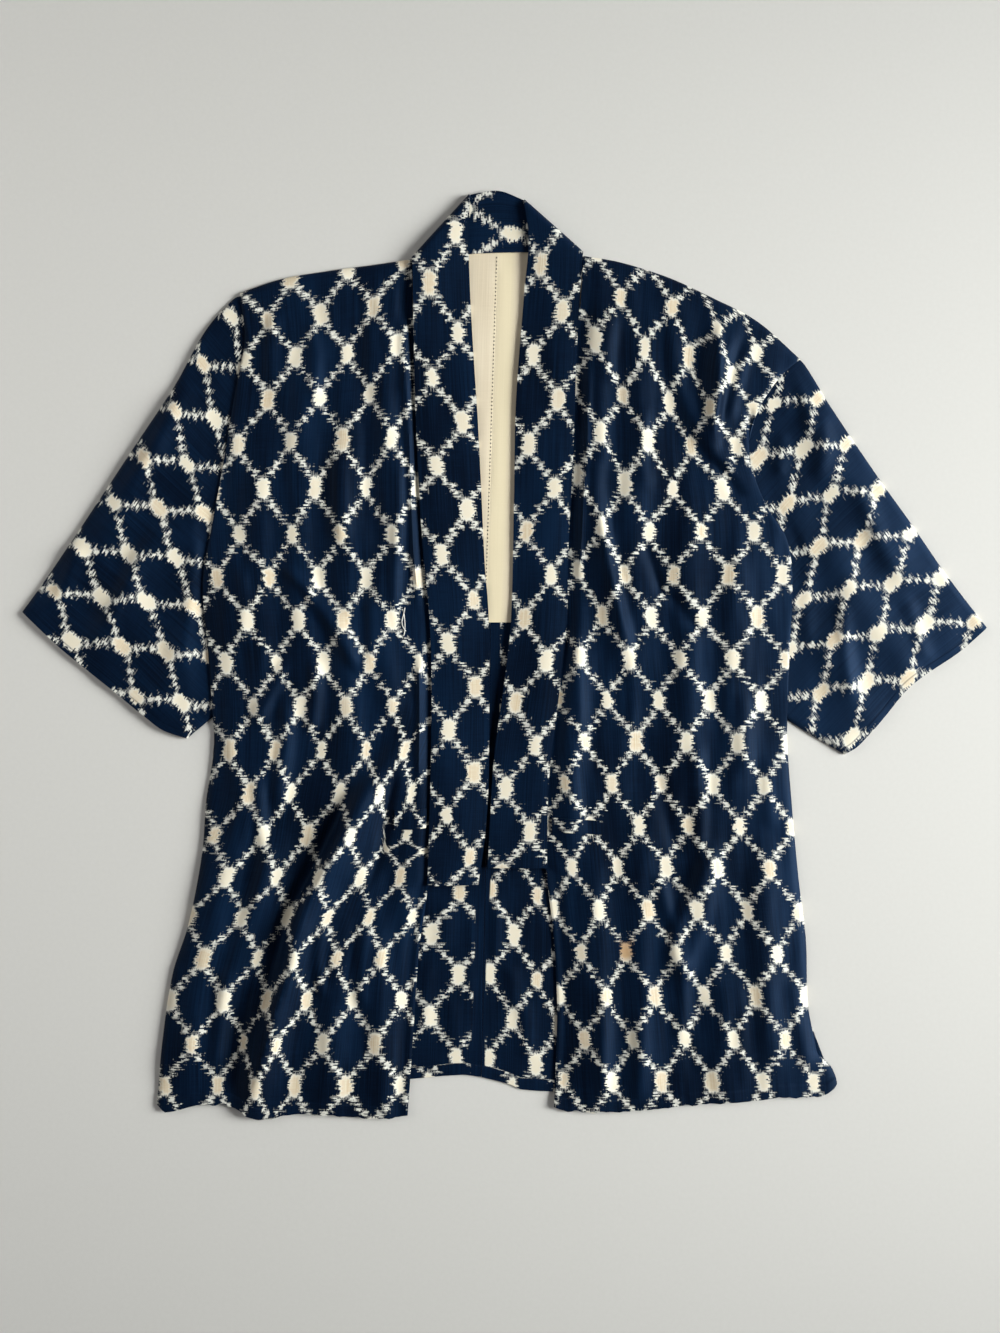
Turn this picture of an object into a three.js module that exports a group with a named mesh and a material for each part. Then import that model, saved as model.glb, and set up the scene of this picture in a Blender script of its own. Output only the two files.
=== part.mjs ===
// A noragi: an unlined cotton work jacket, laid open on a flat surface with its front up.
// Millimetres. X runs across the jacket, Y from the hem to the collar, Z up from the surface.
// Right and left are the wearer's, so the right pieces have a negative X.
import * as THREE from 'three';

// Cloth and seams.
const cloth = 1.2; // wall of the cotton body and sleeves
const bandCloth = 2.4; // the collar band is folded, so it is twice as thick
const liningCloth = 1;
const seamGap = 0.3; // between pieces that are sewn together

// Heights of the middle of each layer above the surface.
const floorLayer = cloth / 2; // cloth that lies on the surface
const frontLift = 5.2; // the front, between its folds
const frontEdgeLift = 3.5; // the front's edge, over the back and its lining
const frontHemLift = 2.4; // the front's hem, over the back's hem
const overSleeveLift = 4.3; // the front's edge over the sleeve's end
const sleeveEndLift = 2.6; // the sleeve's upper layer under the front
const sleeveLift = 4.4; // the sleeve's upper layer further out
const liningLift = cloth + seamGap + liningCloth / 2;
const bandSeamLift = 5.8; // the collar band over the front's edge
const bandCrown = 1.4; // how much the band rises along its middle
const bandFreeLift = 4.4; // the band's free edge, over the lining
const bandTurnRise = 3.4; // how much more it rises before it turns at the neck
const neckSeamLift = 4.1; // the band at the back of the neck, over the lining's edge
const neckFreeLift = 2.2; // its free edge there

// How the edges lie, as distances in the cloth's plane.
const sideRound = 9; // the front rounds down this far in from its side and shoulder
const foldRound = 6; // the sleeve rounds down this far in from its two long folds
const bandRound = 5; // the collar band rounds down this far before it turns
const neckTuck = 7; // the front's edge lies under the band
const tuckFade = 12; // the front rises beside the band over this distance
const armholeTuck = 14; // the sleeve's end lies under the front
const armholeGap = 0.6; // between the sleeve's end and the back, along x
const sideInset = 1.8; // the back's side stops short of the front's
const hemFade = 50; // the front sinks towards the hem over this distance
const closeRows = [0.5, 1.8, 4.2, 9]; // rows of points beside an edge that rounds down
const armholeClear = 3; // between the back's cloth and the sleeve's two folds

// The stretches over which the cloth goes from one lie to another, as distances from a place.
const spans = {
  intoBand: [-4, 8], // up from the band's end: the front's edge goes in under the band
  outOfBand: [70, 46], // down from the neck: it comes out again before the band turns
  toBandEnd: [-30, 0], // up to the band's end: the front's edge rises to the band
  toNeck: [40, 6], // down from the neck: the front lies even again
  underarm: [26, 9], // down from the underarm: the front's side leaves the sleeve for the surface
  sleeveEnd: [3, 45], // out from the front: the sleeve rises
  bandTurn: [110, 15], // down from the turn: the band rises towards it
};
const bandSlope = [0.14, 0.7]; // the band slopes down between these shares of its width

// Outlines, each by the places where it turns, from the hem, the middle, the armhole or the top fold.
const centreBack = -6;
const neckLine = 386; // the back's neck edge, under the band
const right = {
  side: -1,
  hem: [[-92, -437], [-120, -440], [-164, -437], [-201, -436], [-234, -440.5], [-261, -428], [-294, -428],
    [-321, -434], [-330, -427]],
  shoulder: [[-88, 376], [-128, 370], [-159, 366], [-212, 357], [-251, 344]],
  seam: [[-92, -437], [-87, -363], [-81, -278], [-73, -219], [-69, -62], [-71, 33], [-78, 109],
    [-84, 223], [-87, 300], [-88, 376]],
  edge: [[-330, -427], [-325, -369], [-315, -303], [-300, -256], [-287, -188], [-283, -137], [-276, -90],
    [-277, -50], [-281, 3], [-286, 68], [-277, 124], [-266, 185], [-254, 256], [-246, 300], [-251, 344]],
  backHem: [[centreBack, -401], [-40, -399], [-90, -403], [-180, -412], [-328.2, -424]],
  sleeveTop: [[-250, 341], [-259, 337], [-284, 308], [-313, 256], [-348, 203], [-405, 117], [-437, 70],
    [-458, 41]],
  sleeveUnder: [[-277, -58], [-302, -79]],
  cuff: [[-458, 41], [-421, 6], [-374, -32], [-342, -58], [-325, -71], [-302, -79]],
  armhole: [338, -48], // from the top fold to the underarm
  tuck: { top: -142, bottom: -163, reach: 0.2 }, // a short fold sewn down beside the collar
};
const left = {
  side: 1,
  hem: [[47, -429], [60, -433], [119, -433], [179, -427], [229, -424], [266, -420], [300, -419],
    [313, -412]],
  shoulder: [[75, 379], [110, 373], [157, 358], [200, 338], [240, 317], [281, 281]],
  seam: [[47, -429], [50, -338], [47, -270], [40, -202], [42, -119], [51, -43], [59, 33], [60, 90],
    [67, 214], [69, 280], [75, 379]],
  edge: [[313, -412], [298, -377], [288, -332], [286, -270], [279, -212], [272, -134], [268, -72],
    [270, 4], [273, 70], [267, 111], [250, 138], [236, 172], [232, 200], [240, 231], [252, 252],
    [266, 269], [281, 281]],
  backHem: [[centreBack, -401], [5, -408], [17, -413], [90, -416], [200, -416], [311.2, -409]],
  sleeveTop: [[276, 275.5], [286, 270], [307, 240], [356, 167], [386, 125], [419, 77], [458, 26]],
  sleeveUnder: [[269, -61], [292, -76], [323, -94]],
  cuff: [[458, 26], [433, 4], [386, -29], [360, -59], [336, -86], [323, -94]],
  armhole: [272, -51],
  tuck: { top: -149, bottom: -166, reach: 0.24 },
};

// The collar band by its seam and its free edge, from each end to its turn, then across the neck.
const band = {
  rightSeam: [[-73, -219], [-69, -62], [-71, 33], [-78, 109], [-84, 223], [-86, 300], [-87.2, 377]],
  rightFree: [[-25, -218], [-18, -166], [-15, -109], [-15, 33], [-19, 90], [-25, 214], [-31, 309],
    [-34, 382], [-33, 437]],
  leftSeam: [[40, -202], [42, -119], [51, -43], [59, 33], [60, 90], [66, 214], [68, 280], [74, 382]],
  leftFree: [[-16, -202], [-10, -100], [0, -24], [6, 31], [9, 147], [11, 242], [19, 347], [23, 394],
    [18, 432]],
  neckSeam: [[-87.2, 377], [centreBack, 382], [74, 382]],
  neckFree: [[-33, 437], [centreBack, 440.7], [18, 432]],
};

// The lining of the upper back: each half from the centre out, from its lower edge to the neck.
const lining = { bottom: 31, reach: 196, neck: 384, shoulderGap: 16, step: 4 };

// Folds in the cloth: a line from x0, y0 to x1, y1, bowed sideways, with its half width and height.
// lean makes one flank wider than the other. A trough has a negative height.
const foldColumns = ['x0', 'y0', 'x1', 'y1', 'bow', 'width', 'lean', 'height'];
const folds = {
  right: [
    [-98, -84, -246, -436, 20, 16, -0.35, 12],
    [-116, 100, -106, -60, 3, 12, 0, 4.5],
    [-110, 330, -108, 110, 3, 11, 0, 4],
    [-148, 250, -142, -150, 5, 15, 0, 4.5],
    [-190, 300, -188, -60, 4, 16, 0, 4],
    [-230, 220, -226, -120, 5, 15, 0, 4.5],
    [-258, 110, -250, -160, 3, 12, 0, 3.5],
    [-236, -120, -300, -400, 8, 17, 0, 5],
    [-150, -240, -170, -438, 2, 16, 0, 5],
    [-118, -250, -114, -438, 2, 12, 0, 4.5],
    [-205, -160, -262, -330, 6, 14, -0.3, 5],
  ],
  left: [
    [86, 160, 120, -10, 4, 12, 0.3, 6],
    [72, 60, 64, -190, 3, 11, 0, 4],
    [94, 330, 90, 170, 2, 13, 0, 4],
    [130, 300, 128, 20, 3, 16, 0, 4],
    [214, 306, 196, 200, 3, 13, 0.3, 7],
    [178, 150, 176, -120, 3, 16, 0, 5],
    [224, 120, 222, -140, 3, 16, 0, 4.5],
    [196, -180, 166, -310, -6, 13, 0.3, 6],
    [86, -190, 92, -428, 3, 14, 0, 5],
    [132, -150, 134, -428, 2, 15, 0, 4.5],
    [246, -180, 256, -400, 3, 16, 0, 5],
    [210, -310, 216, -424, 2, 14, 0, 4],
  ],
  sleeveRight: [
    [-290, 250, -410, 60, 4, 20, 0, 4],
    [-306, 130, -390, 0, 3, 18, 0, 3.5],
    [-300, 20, -330, -56, 2, 14, 0, 3],
  ],
  sleeveLeft: [
    [280, 236, 400, 60, 4, 20, 0, 4],
    [296, 120, 390, -20, 3, 18, 0, 3.5],
    [300, 20, 350, -70, 2, 16, 0, 4],
  ],
};

const { smoothstep, lerp, clamp } = THREE.MathUtils;
const rise = ([low, high], value) => smoothstep(value, low, high);
const drop = ([high, low], value) => 1 - smoothstep(value, low, high);

// A smooth line through points: the value of one coordinate at a given other, key 0 for x or 1 for y.
const lineThrough = (points, key) => {
  const sorted = [...points].sort((a, b) => a[key] - b[key]);
  const at = sorted.map((point) => point[key]);
  const value = sorted.map((point) => point[1 - key]);
  const last = sorted.length - 1;
  const slope = (k) => {
    const [before, after] = [Math.max(k - 1, 0), Math.min(k + 1, last)];
    return (value[after] - value[before]) / (at[after] - at[before]);
  };
  return (where) => {
    const next = at.findIndex((place) => place >= where);
    const k = clamp(next === -1 ? last : next, 1, last);
    const length = at[k] - at[k - 1];
    const share = clamp((where - at[k - 1]) / length, 0, 1);
    const [square, cube] = [share ** 2, share ** 3];
    return (2 * cube - 3 * square + 1) * value[k - 1] + (3 * square - 2 * cube) * value[k]
      + (cube - 2 * square + share) * length * slope(k - 1) + (cube - square) * length * slope(k);
  };
};

// The same line as places by share, even in the key coordinate. shift moves a place sideways in x.
const run = (points, key, shift = () => 0) => {
  const line = lineThrough(points, key);
  return (share) => {
    const where = lerp(points[0][key], points.at(-1)[key], share);
    return key === 0
      ? new THREE.Vector3(where, line(where), 0)
      : new THREE.Vector3(line(where) + shift(where), where, 0);
  };
};

// A flat sheet between four lines. across and along go from 0 to 1.
const mix = (a, b, share) => a.clone().lerp(b, share);
const stretched = (bottom, top, start, end) => (across, along) => {
  const low = mix(bottom(0), bottom(1), across);
  const high = mix(top(0), top(1), across);
  return mix(bottom(across), top(across), along)
    .add(mix(start(along), end(along), across))
    .sub(mix(low, high, along));
};

// Shares from 0 to 1 in even steps, with the close rows beside an end that rounds down.
const leastStep = 0.4; // of an even step, between the close rows and the even ones
const shares = (count, length, roundStart, roundEnd) => {
  const close = closeRows.map((distance) => distance / length);
  const clear = close.at(-1) + leastStep / count;
  const even = Array.from({ length: count - 1 }, (_, k) => (k + 1) / count)
    .filter((share) => (!roundStart || share > clear) && (!roundEnd || share < 1 - clear));
  return [
    0,
    ...(roundStart ? close : []),
    ...even,
    ...(roundEnd ? close.map((share) => 1 - share).reverse() : []),
    1,
  ];
};

// A quarter-round rise, from 0 at an edge to 1 at a distance of reach.
const rounded = (distance, reach) => Math.sqrt(1 - (1 - clamp(distance / reach, 0, 1)) ** 2);

// How much the folds raise the cloth at x, y. Each fades out towards its ends.
const foldHeight = (row, x, y) => {
  const fold = Object.fromEntries(foldColumns.map((name, k) => [name, row[k]]));
  const way = new THREE.Vector2(fold.x1 - fold.x0, fold.y1 - fold.y0);
  const from = new THREE.Vector2(x - fold.x0, y - fold.y0);
  const share = from.dot(way) / way.lengthSq();
  const inside = clamp(share, 0, 1);
  const aside = from.cross(way) / way.length() - fold.bow * 4 * inside * (1 - inside);
  const width = fold.width * (1 + fold.lean * Math.sign(aside));
  const fade = rise([-0.1, 0.2], share) * drop([1.1, 0.85], share);
  return fold.height * fade * Math.exp(-((aside / width) ** 2));
};
const foldsAt = (rows, { x, y }) => rows.reduce((sum, row) => sum + foldHeight(row, x, y), 0);

// The cells of a grid that have cloth, each by its row, its column and the next column.
const cellsOf = (grid, { closed = false, kept = () => true } = {}) => {
  const columns = grid[0].length;
  const cells = [];
  for (let i = 0; i < grid.length - 1; i += 1) {
    for (let j = 0; j < columns - (closed ? 0 : 1); j += 1) {
      if (kept(i, j)) cells.push([i, j, (j + 1) % columns]);
    }
  }
  return cells;
};

// The outward direction of a grid at each of its points, from those cells.
const outwardOf = (grid, cells, mirrored) => {
  const outward = grid.map((row) => row.map(() => new THREE.Vector3()));
  cells.forEach(([i, j, next]) => {
    const one = grid[i + 1][next].clone().sub(grid[i][j]);
    const other = grid[i + 1][j].clone().sub(grid[i][next]);
    const face = one.cross(other).normalize().multiplyScalar(mirrored ? -1 : 1);
    [[i, j], [i, next], [i + 1, j], [i + 1, next]].forEach(([a, b]) => outward[a][b].add(face));
  });
  outward.flat().forEach((direction) => direction.normalize());
  return outward;
};

// A wall of cloth on a grid of points in its middle, with a rim along every open edge.
// A closed grid joins its last column to its first, and kept says which cells have cloth.
const wall = (grid, thickness, { mirrored = false, ...options } = {}) => {
  const cells = cellsOf(grid, options);
  const outward = outwardOf(grid, cells, mirrored);
  const used = new Set();
  cells.forEach(([i, j, next]) => {
    [[i, j], [i, next], [i + 1, j], [i + 1, next]].forEach(([a, b]) => used.add(`${a} ${b}`));
  });
  const positions = [];
  const number = new Map();
  used.forEach((name) => {
    const [i, j] = name.split(' ').map(Number);
    [1, -1].forEach((side) => {
      number.set(`${name} ${side}`, positions.length / 3);
      positions.push(...grid[i][j].clone().addScaledVector(outward[i][j], side * thickness / 2));
    });
  });
  const at = (i, j, side) => number.get(`${i} ${j} ${side}`);
  const faces = [];
  const quad = (a, b, c, d) => faces.push(...(mirrored ? [a, c, b, a, d, c] : [a, b, c, a, c, d]));
  const edges = new Map();
  cells.forEach(([i, j, next]) => {
    const corners = [[i, j], [i, next], [i + 1, next], [i + 1, j]];
    quad(...corners.map(([a, b]) => at(a, b, 1)));
    quad(...[0, 3, 2, 1].map((k) => at(...corners[k], -1)));
    corners.forEach((from, k) => {
      const to = corners[(k + 1) % 4];
      edges.set(`${from}>${to}`, [from, to]);
    });
  });
  edges.forEach(([from, to]) => {
    if (edges.has(`${to}>${from}`)) return;
    quad(at(...from, 1), at(...from, -1), at(...to, -1), at(...to, 1));
  });
  const geometry = new THREE.BufferGeometry();
  geometry.setAttribute('position', new THREE.Float32BufferAttribute(positions, 3));
  geometry.setIndex(faces);
  return geometry;
};

// The armhole, where the back's side and the sleeve's end meet, is straight between these shares of it.
const armholeShares = Array.from({ length: 9 }, (_, k) => k / 8);
const straightLine = (points) => (y) => {
  const k = clamp(points.findIndex((point) => point[1] >= y), 1, points.length - 1);
  const [from, to] = [points[k - 1], points[k]];
  return lerp(from[0], to[0], clamp((y - from[1]) / (to[1] - from[1]), 0, 1));
};

// The back's side, by its corners: along the front's side, in to the armhole, up it and out to the fold.
const backSide = (cut) => {
  const [top, under] = cut.armhole;
  const edgeAt = lineThrough(cut.edge, 1);
  const inFrom = (y, inset) => [edgeAt(y) - cut.side * inset, y];
  const [hemEnd, foldEnd] = [cut.backHem.at(-1)[1], cut.shoulder.at(-1)[1]];
  const corner = under - armholeClear - armholeTuck;
  const below = [0, 0.2, 0.4, 0.6, 0.8, 1].map((share) => inFrom(lerp(hemEnd, corner, share), sideInset));
  const beside = [...armholeShares].reverse().map((share) => inFrom(lerp(top, under, share), armholeTuck));
  return [
    ...below,
    inFrom(under - armholeClear, armholeTuck),
    ...beside,
    inFrom(top + armholeClear, armholeTuck + armholeClear),
    inFrom(foldEnd, 0),
  ];
};

// One half of the body, from hem to hem over the shoulder in one length. The columns beside the neck
// have cloth in the back only, because the front is cut away there.
const neckColumns = 4;
const bodyWidth = 210;
const bodyLength = 800;
const besideBand = [0, neckTuck, neckTuck + 2, neckTuck + tuckFade]; // columns from the seam
const bodyAcross = besideBand.map((place) => place / bodyWidth)
  .concat(shares(12, bodyWidth, false, true).slice(2));

const bodyHalf = (cut, foldRows, bandEnd) => {
  const neckY = cut.shoulder[0][1];
  const tuckAt = (y) => neckTuck * rise(spans.intoBand, y - bandEnd) * (1 - drop(spans.outOfBand, neckY - y));
  const hem = run(cut.hem, 0);
  const shoulder = run(cut.shoulder, 0);
  const seam = run(cut.seam, 1, (y) => -cut.side * tuckAt(y));
  const edge = run(cut.edge, 1);
  const front = stretched(hem, shoulder, seam, edge);
  const shoulderAt = lineThrough(cut.shoulder, 0);

  const heightAt = (place, across, along) => {
    const fromSeam = place.distanceTo(seam(along));
    const fromSide = place.distanceTo(edge(along));
    const fromHem = place.y - hem(across).y;
    const fromFold = shoulderAt(place.x) - place.y;
    const lift = lerp(frontHemLift, frontLift, rise([0, hemFade], fromHem)) + foldsAt(foldRows, place);
    const edgeLift = lerp(frontHemLift, frontEdgeLift, rise(spans.toBandEnd, place.y - bandEnd));
    const byBand = lerp(edgeLift, lift, rise([neckTuck, neckTuck + tuckFade], fromSeam));
    const bySeam = lerp(byBand, lift, drop(spans.toNeck, neckY - place.y));
    const sideLift = lerp(floorLayer, overSleeveLift, drop(spans.underarm, cut.armhole[1] - place.y));
    const bySide = lerp(sideLift, bySeam, rounded(fromSide, sideRound));
    return lerp(floorLayer, bySide, rounded(fromFold, sideRound));
  };

  const centreX = centreBack + cut.side * seamGap / 2;
  const neckShare = (cut.shoulder[0][0] - centreBack) / (cut.shoulder.at(-1)[0] - centreBack);
  const neckMiddle = new THREE.Vector3(centreX, neckLine, 0);
  const backTop = (across) => (across < neckShare
    ? mix(neckMiddle, shoulder(0), across / neckShare)
    : shoulder((across - neckShare) / (1 - neckShare)));
  const backHem = run([[centreX, cut.backHem[0][1]], ...cut.backHem.slice(1)], 0);
  const centre = (along) => mix(backHem(0), neckMiddle, along);
  const sideCorners = backSide(cut);
  const [lowY, highY] = [sideCorners[0][1], sideCorners.at(-1)[1]];
  const sideAt = straightLine(sideCorners);
  const backEdge = run([[0, lowY], [0, highY]], 1, sideAt);
  const backAlong = sideCorners.map(([, y]) => (y - lowY) / (highY - lowY)).reverse();
  const back = stretched(backHem, backTop, centre, backEdge);

  const tuckRows = [cut.tuck.bottom, cut.tuck.top]
    .map((y) => (y - cut.seam[0][1]) / (neckY - cut.seam[0][1]));
  const frontAlong = [...shares(27, bodyLength, false, true), ...tuckRows].sort((a, b) => a - b);
  const frontRows = frontAlong.slice(0, -1).map((along) => {
    const row = bodyAcross.map((across) => {
      const place = front(across, along);
      return place.setZ(heightAt(place, across, along));
    });
    return [...Array(neckColumns).fill(row[0]), ...row];
  });
  const backAcross = [
    ...Array.from({ length: neckColumns }, (_, k) => neckShare * k / neckColumns),
    ...bodyAcross.map((share) => lerp(neckShare, 1, share)),
  ];
  const backRows = backAlong
    .map((along) => backAcross.map((across) => back(across, along).setZ(floorLayer)));
  const grid = [...frontRows, ...backRows];
  const kept = (i, j) => i >= frontRows.length || j >= neckColumns;
  const tuckRange = tuckRows.map((along) => frontAlong.indexOf(along));
  return { grid, kept, tuckRange };
};

// The tuck is cloth folded on the front beside the collar, so it is made from the front's points.
const tuckOn = (grid, cells, [low, high], reach, mirrored) => {
  const outward = outwardOf(grid, cells, mirrored);
  const first = neckColumns + 2;
  const last = neckColumns + bodyAcross.findIndex((share) => share > reach);
  return grid.slice(low, high + 1).map((row, i) => row.slice(first, last + 1)
    .map((point, j) => point.clone().addScaledVector(outward[low + i][first + j], cloth + seamGap)));
};

// A sleeve: a tube of cloth laid flat, from its end under the front to the cuff.
const sleeveAlong = [0, 0.06, 0.12, 0.2, 0.3, 0.4, 0.5, 0.6, 0.7, 0.8, 0.9, 1];
const sleeveUpper = shares(armholeShares.length - 1, 250, true, true);
const sleeveLower = armholeShares.slice(1, -1).reverse();

const sleeve = (cut, foldRows) => {
  const [top, under] = cut.armhole;
  const backAt = straightLine(backSide(cut));
  const armholeX = (y) => backAt(y) + cut.side * armholeGap;
  const armhole = run([[0, top], [0, under]], 1, armholeX);
  const topFold = run([[armholeX(top), top], ...cut.sleeveTop], 0);
  const underFold = run([[armholeX(under), under], ...cut.sleeveUnder], 0);
  const plan = stretched(armhole, run(cut.cuff, 0), topFold, underFold);
  return sleeveAlong.map((along) => {
    const upper = sleeveUpper.map((across) => {
      const place = plan(across, along);
      const outside = place.distanceTo(armhole(across)) - armholeTuck;
      const lift = lerp(sleeveEndLift, sleeveLift + foldsAt(foldRows, place), rise(spans.sleeveEnd, outside));
      const fromFold = Math.min(place.distanceTo(topFold(along)), place.distanceTo(underFold(along)));
      return place.setZ(lerp(floorLayer, lift, rounded(fromFold, foldRound)));
    });
    const lower = sleeveLower.map((across) => plan(across, along).setZ(floorLayer));
    return [...upper, ...lower];
  });
};

// The collar band: up one front, turned under on a slant, across the back of the neck and down again.
const bandAcross = [0, bandSlope[0], 0.38, 0.62, 0.86, 1];
const bandAlong = shares(24, 600, false, true);
const neckAcross = [0.12, 0.3, 0.5, 0.7, 0.88];

const collar = () => {
  const neckLift = (across) => lerp(neckSeamLift, neckFreeLift, across);
  const frontPart = (seamPoints, freePoints) => {
    const seam = run(seamPoints, 1);
    const free = run(freePoints, 1);
    return bandAlong.map((along) => bandAcross.map((across) => {
      const place = mix(seam(along), free(along), across);
      const turn = mix(seam(1), free(1), across);
      const fromTurn = turn.y - place.y;
      const flat = lerp(bandSeamLift, bandFreeLift, rise(bandSlope, across));
      const rising = bandTurnRise * drop(spans.bandTurn, fromTurn);
      const lift = flat + bandCrown * Math.sin(Math.PI * across) + rising;
      return place.setZ(lerp(neckLift(across), lift, rounded(fromTurn * Math.SQRT1_2, bandRound)));
    }));
  };
  const seam = run(band.neckSeam, 0);
  const free = run(band.neckFree, 0);
  const neck = neckAcross.map((along) => bandAcross
    .map((across) => mix(seam(along), free(along), across).setZ(neckLift(across))));
  return [
    ...frontPart(band.rightSeam, band.rightFree),
    ...neck,
    ...frontPart(band.leftSeam, band.leftFree).reverse(),
  ];
};

// Half of the lining, from the centre seam to near the armhole and up to the neck and shoulder.
const liningRows = 7;
const liningHalf = (cut) => {
  const shoulderAt = lineThrough(cut.shoulder, 0);
  const neckEnd = Math.abs(cut.shoulder[0][0] - centreBack) - lining.step;
  const beside = [neckEnd - lining.step / 2, neckEnd + lining.step / 2];
  const across = [seamGap / 2, neckEnd / 2, ...beside, (neckEnd + lining.reach) / 2, lining.reach];
  return Array.from({ length: liningRows + 1 }, (_, i) => across.map((distance) => {
    const x = centreBack + cut.side * distance;
    const top = distance < neckEnd ? lining.neck : shoulderAt(x) - lining.shoulderGap;
    return new THREE.Vector3(x, lerp(lining.bottom, top, i / liningRows), liningLift);
  }));
};

const jacket = new THREE.Group();
const add = (name, geometry, material) => {
  const mesh = new THREE.Mesh(geometry, material);
  mesh.name = name;
  jacket.add(mesh);
};
const kasuri = () => new THREE.MeshStandardMaterial({ color: '#16243f', roughness: 0.85, metalness: 0 });
const cream = () => new THREE.MeshStandardMaterial({ color: '#e3d9c1', roughness: 0.9, metalness: 0 });

Object.entries({ right, left }).forEach(([side, cut]) => {
  const mirrored = side === 'right';
  const bandEnd = band[`${side}Seam`][0][1];
  const { grid, kept, tuckRange } = bodyHalf(cut, folds[side], bandEnd);
  add(`body_${side}`, wall(grid, cloth, { mirrored, kept }), kasuri());
  const tuck = tuckOn(grid, cellsOf(grid, { kept }), tuckRange, cut.tuck.reach, mirrored);
  add(`tuck_${side}`, wall(tuck, cloth, { mirrored }), kasuri());
  const sleeveFolds = folds[mirrored ? 'sleeveRight' : 'sleeveLeft'];
  add(`sleeve_${side}`, wall(sleeve(cut, sleeveFolds), cloth, { mirrored, closed: true }), kasuri());
  add(`lining_${side}`, wall(liningHalf(cut), liningCloth, { mirrored }), cream());
});
add('collar', wall(collar(), bandCloth), kasuri());

export default jacket;
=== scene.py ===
# A noragi jacket of kasuri cotton, laid open on a pale floor and seen from straight above.
# Metres in Blender. The tables below are in millimetres, as in the part's source.
import math

import bpy
import numpy as np
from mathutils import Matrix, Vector, noise


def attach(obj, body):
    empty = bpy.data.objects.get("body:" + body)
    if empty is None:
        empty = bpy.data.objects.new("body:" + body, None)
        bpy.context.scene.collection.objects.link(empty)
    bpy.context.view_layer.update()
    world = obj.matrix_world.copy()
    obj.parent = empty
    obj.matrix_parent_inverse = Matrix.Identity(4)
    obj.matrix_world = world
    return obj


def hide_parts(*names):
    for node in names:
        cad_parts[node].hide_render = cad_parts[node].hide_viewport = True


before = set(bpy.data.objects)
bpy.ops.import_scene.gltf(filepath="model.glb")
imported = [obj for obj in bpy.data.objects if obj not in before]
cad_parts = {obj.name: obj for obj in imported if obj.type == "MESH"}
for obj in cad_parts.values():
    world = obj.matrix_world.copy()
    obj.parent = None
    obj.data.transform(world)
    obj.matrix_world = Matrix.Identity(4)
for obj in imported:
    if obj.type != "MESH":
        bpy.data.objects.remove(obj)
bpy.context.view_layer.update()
mm = 0.001

print("stage: camera and lights")


def linked(name, data):
    made = bpy.data.objects.new(name, data)
    bpy.context.scene.collection.objects.link(made)
    return made


def selectOnly(thing):
    bpy.ops.object.select_all(action="DESELECT")
    thing.select_set(True)
    bpy.context.view_layer.objects.active = thing


# The camera looks straight down at the middle of the photograph.
view = {
    "middle": (-4.3, -10.9),  # on the floor
    "height": 1610,
    "lens": 45.7,
}


def addCamera():
    data = bpy.data.cameras.new("camera")
    data.lens = view["lens"]
    camera = linked("camera", data)
    camera.location = (view["middle"][0] * mm, view["middle"][1] * mm, view["height"] * mm)
    bpy.context.scene.camera = camera


# A wide window beyond the left sleeve lights the folds from the side, and a wall beyond the right
# sleeve throws some of its light back. The spread of a light is in degrees.
lights = {
    "window": {
        "at": (3100, 100, 1460),
        "towards": (450, 0, 0),
        "size": 1700,
        "power": 31,
        "colour": (0.96, 1, 1.02),
        "spread": 55,
    },
    "farWall": {
        "at": (-1600, 500, 1000),
        "towards": (0, 0, 0),
        "size": 1200,
        "power": 9,
        "colour": (1, 1, 1),
        "spread": 180,
    },
}
# The room is brighter at its walls than above the cloth.
room = {
    "walls": (0.88, 0.9, 0.96, 1),
    "above": (0.05, 0.055, 0.07, 1),
    "strength": 0.4,
    "heights": (0.15, 0.9),
}


def addLights():
    for name, light in lights.items():
        data = bpy.data.lights.new(name, "AREA")
        data.shape = "SQUARE"
        data.size = light["size"] * mm
        data.energy = light["power"]
        data.color = light["colour"]
        data.spread = math.radians(light["spread"])
        lamp = linked(name, data)
        lamp.location = Vector(light["at"]) * mm
        way = Vector(light["towards"]) - Vector(light["at"])
        lamp.rotation_euler = way.to_track_quat("-Z", "Y").to_euler()


def addRoom():
    world = bpy.data.worlds.new("room")
    world.use_nodes = True
    tree = Tree(world.node_tree)
    height = tree.parts(tree.node("ShaderNodeTexCoord").outputs["Generated"])[2]
    background = world.node_tree.nodes["Background"]
    high = tree.ramp(height, *room["heights"])
    tree.give(background.inputs["Color"], tree.mixed(high, room["walls"], room["above"]))
    background.inputs["Strength"].default_value = room["strength"]
    bpy.context.scene.world = world


addCamera()
addLights()
bpy.context.scene.view_settings.view_transform = "Standard"

print("stage: materials and floor")


# A number that changes over a surface. Sums and products of such numbers become Math nodes.
class Value:
    def __init__(self, tree, socket):
        self.tree = tree
        self.socket = socket

    def __add__(self, other):
        return self.tree.maths("ADD", self, other)

    def __sub__(self, other):
        return self.tree.maths("SUBTRACT", self, other)

    def __mul__(self, other):
        return self.tree.maths("MULTIPLY", self, other)

    def __truediv__(self, other):
        return self.tree.maths("DIVIDE", self, other)

    def __abs__(self):
        return self.tree.maths("ABSOLUTE", self)


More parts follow.
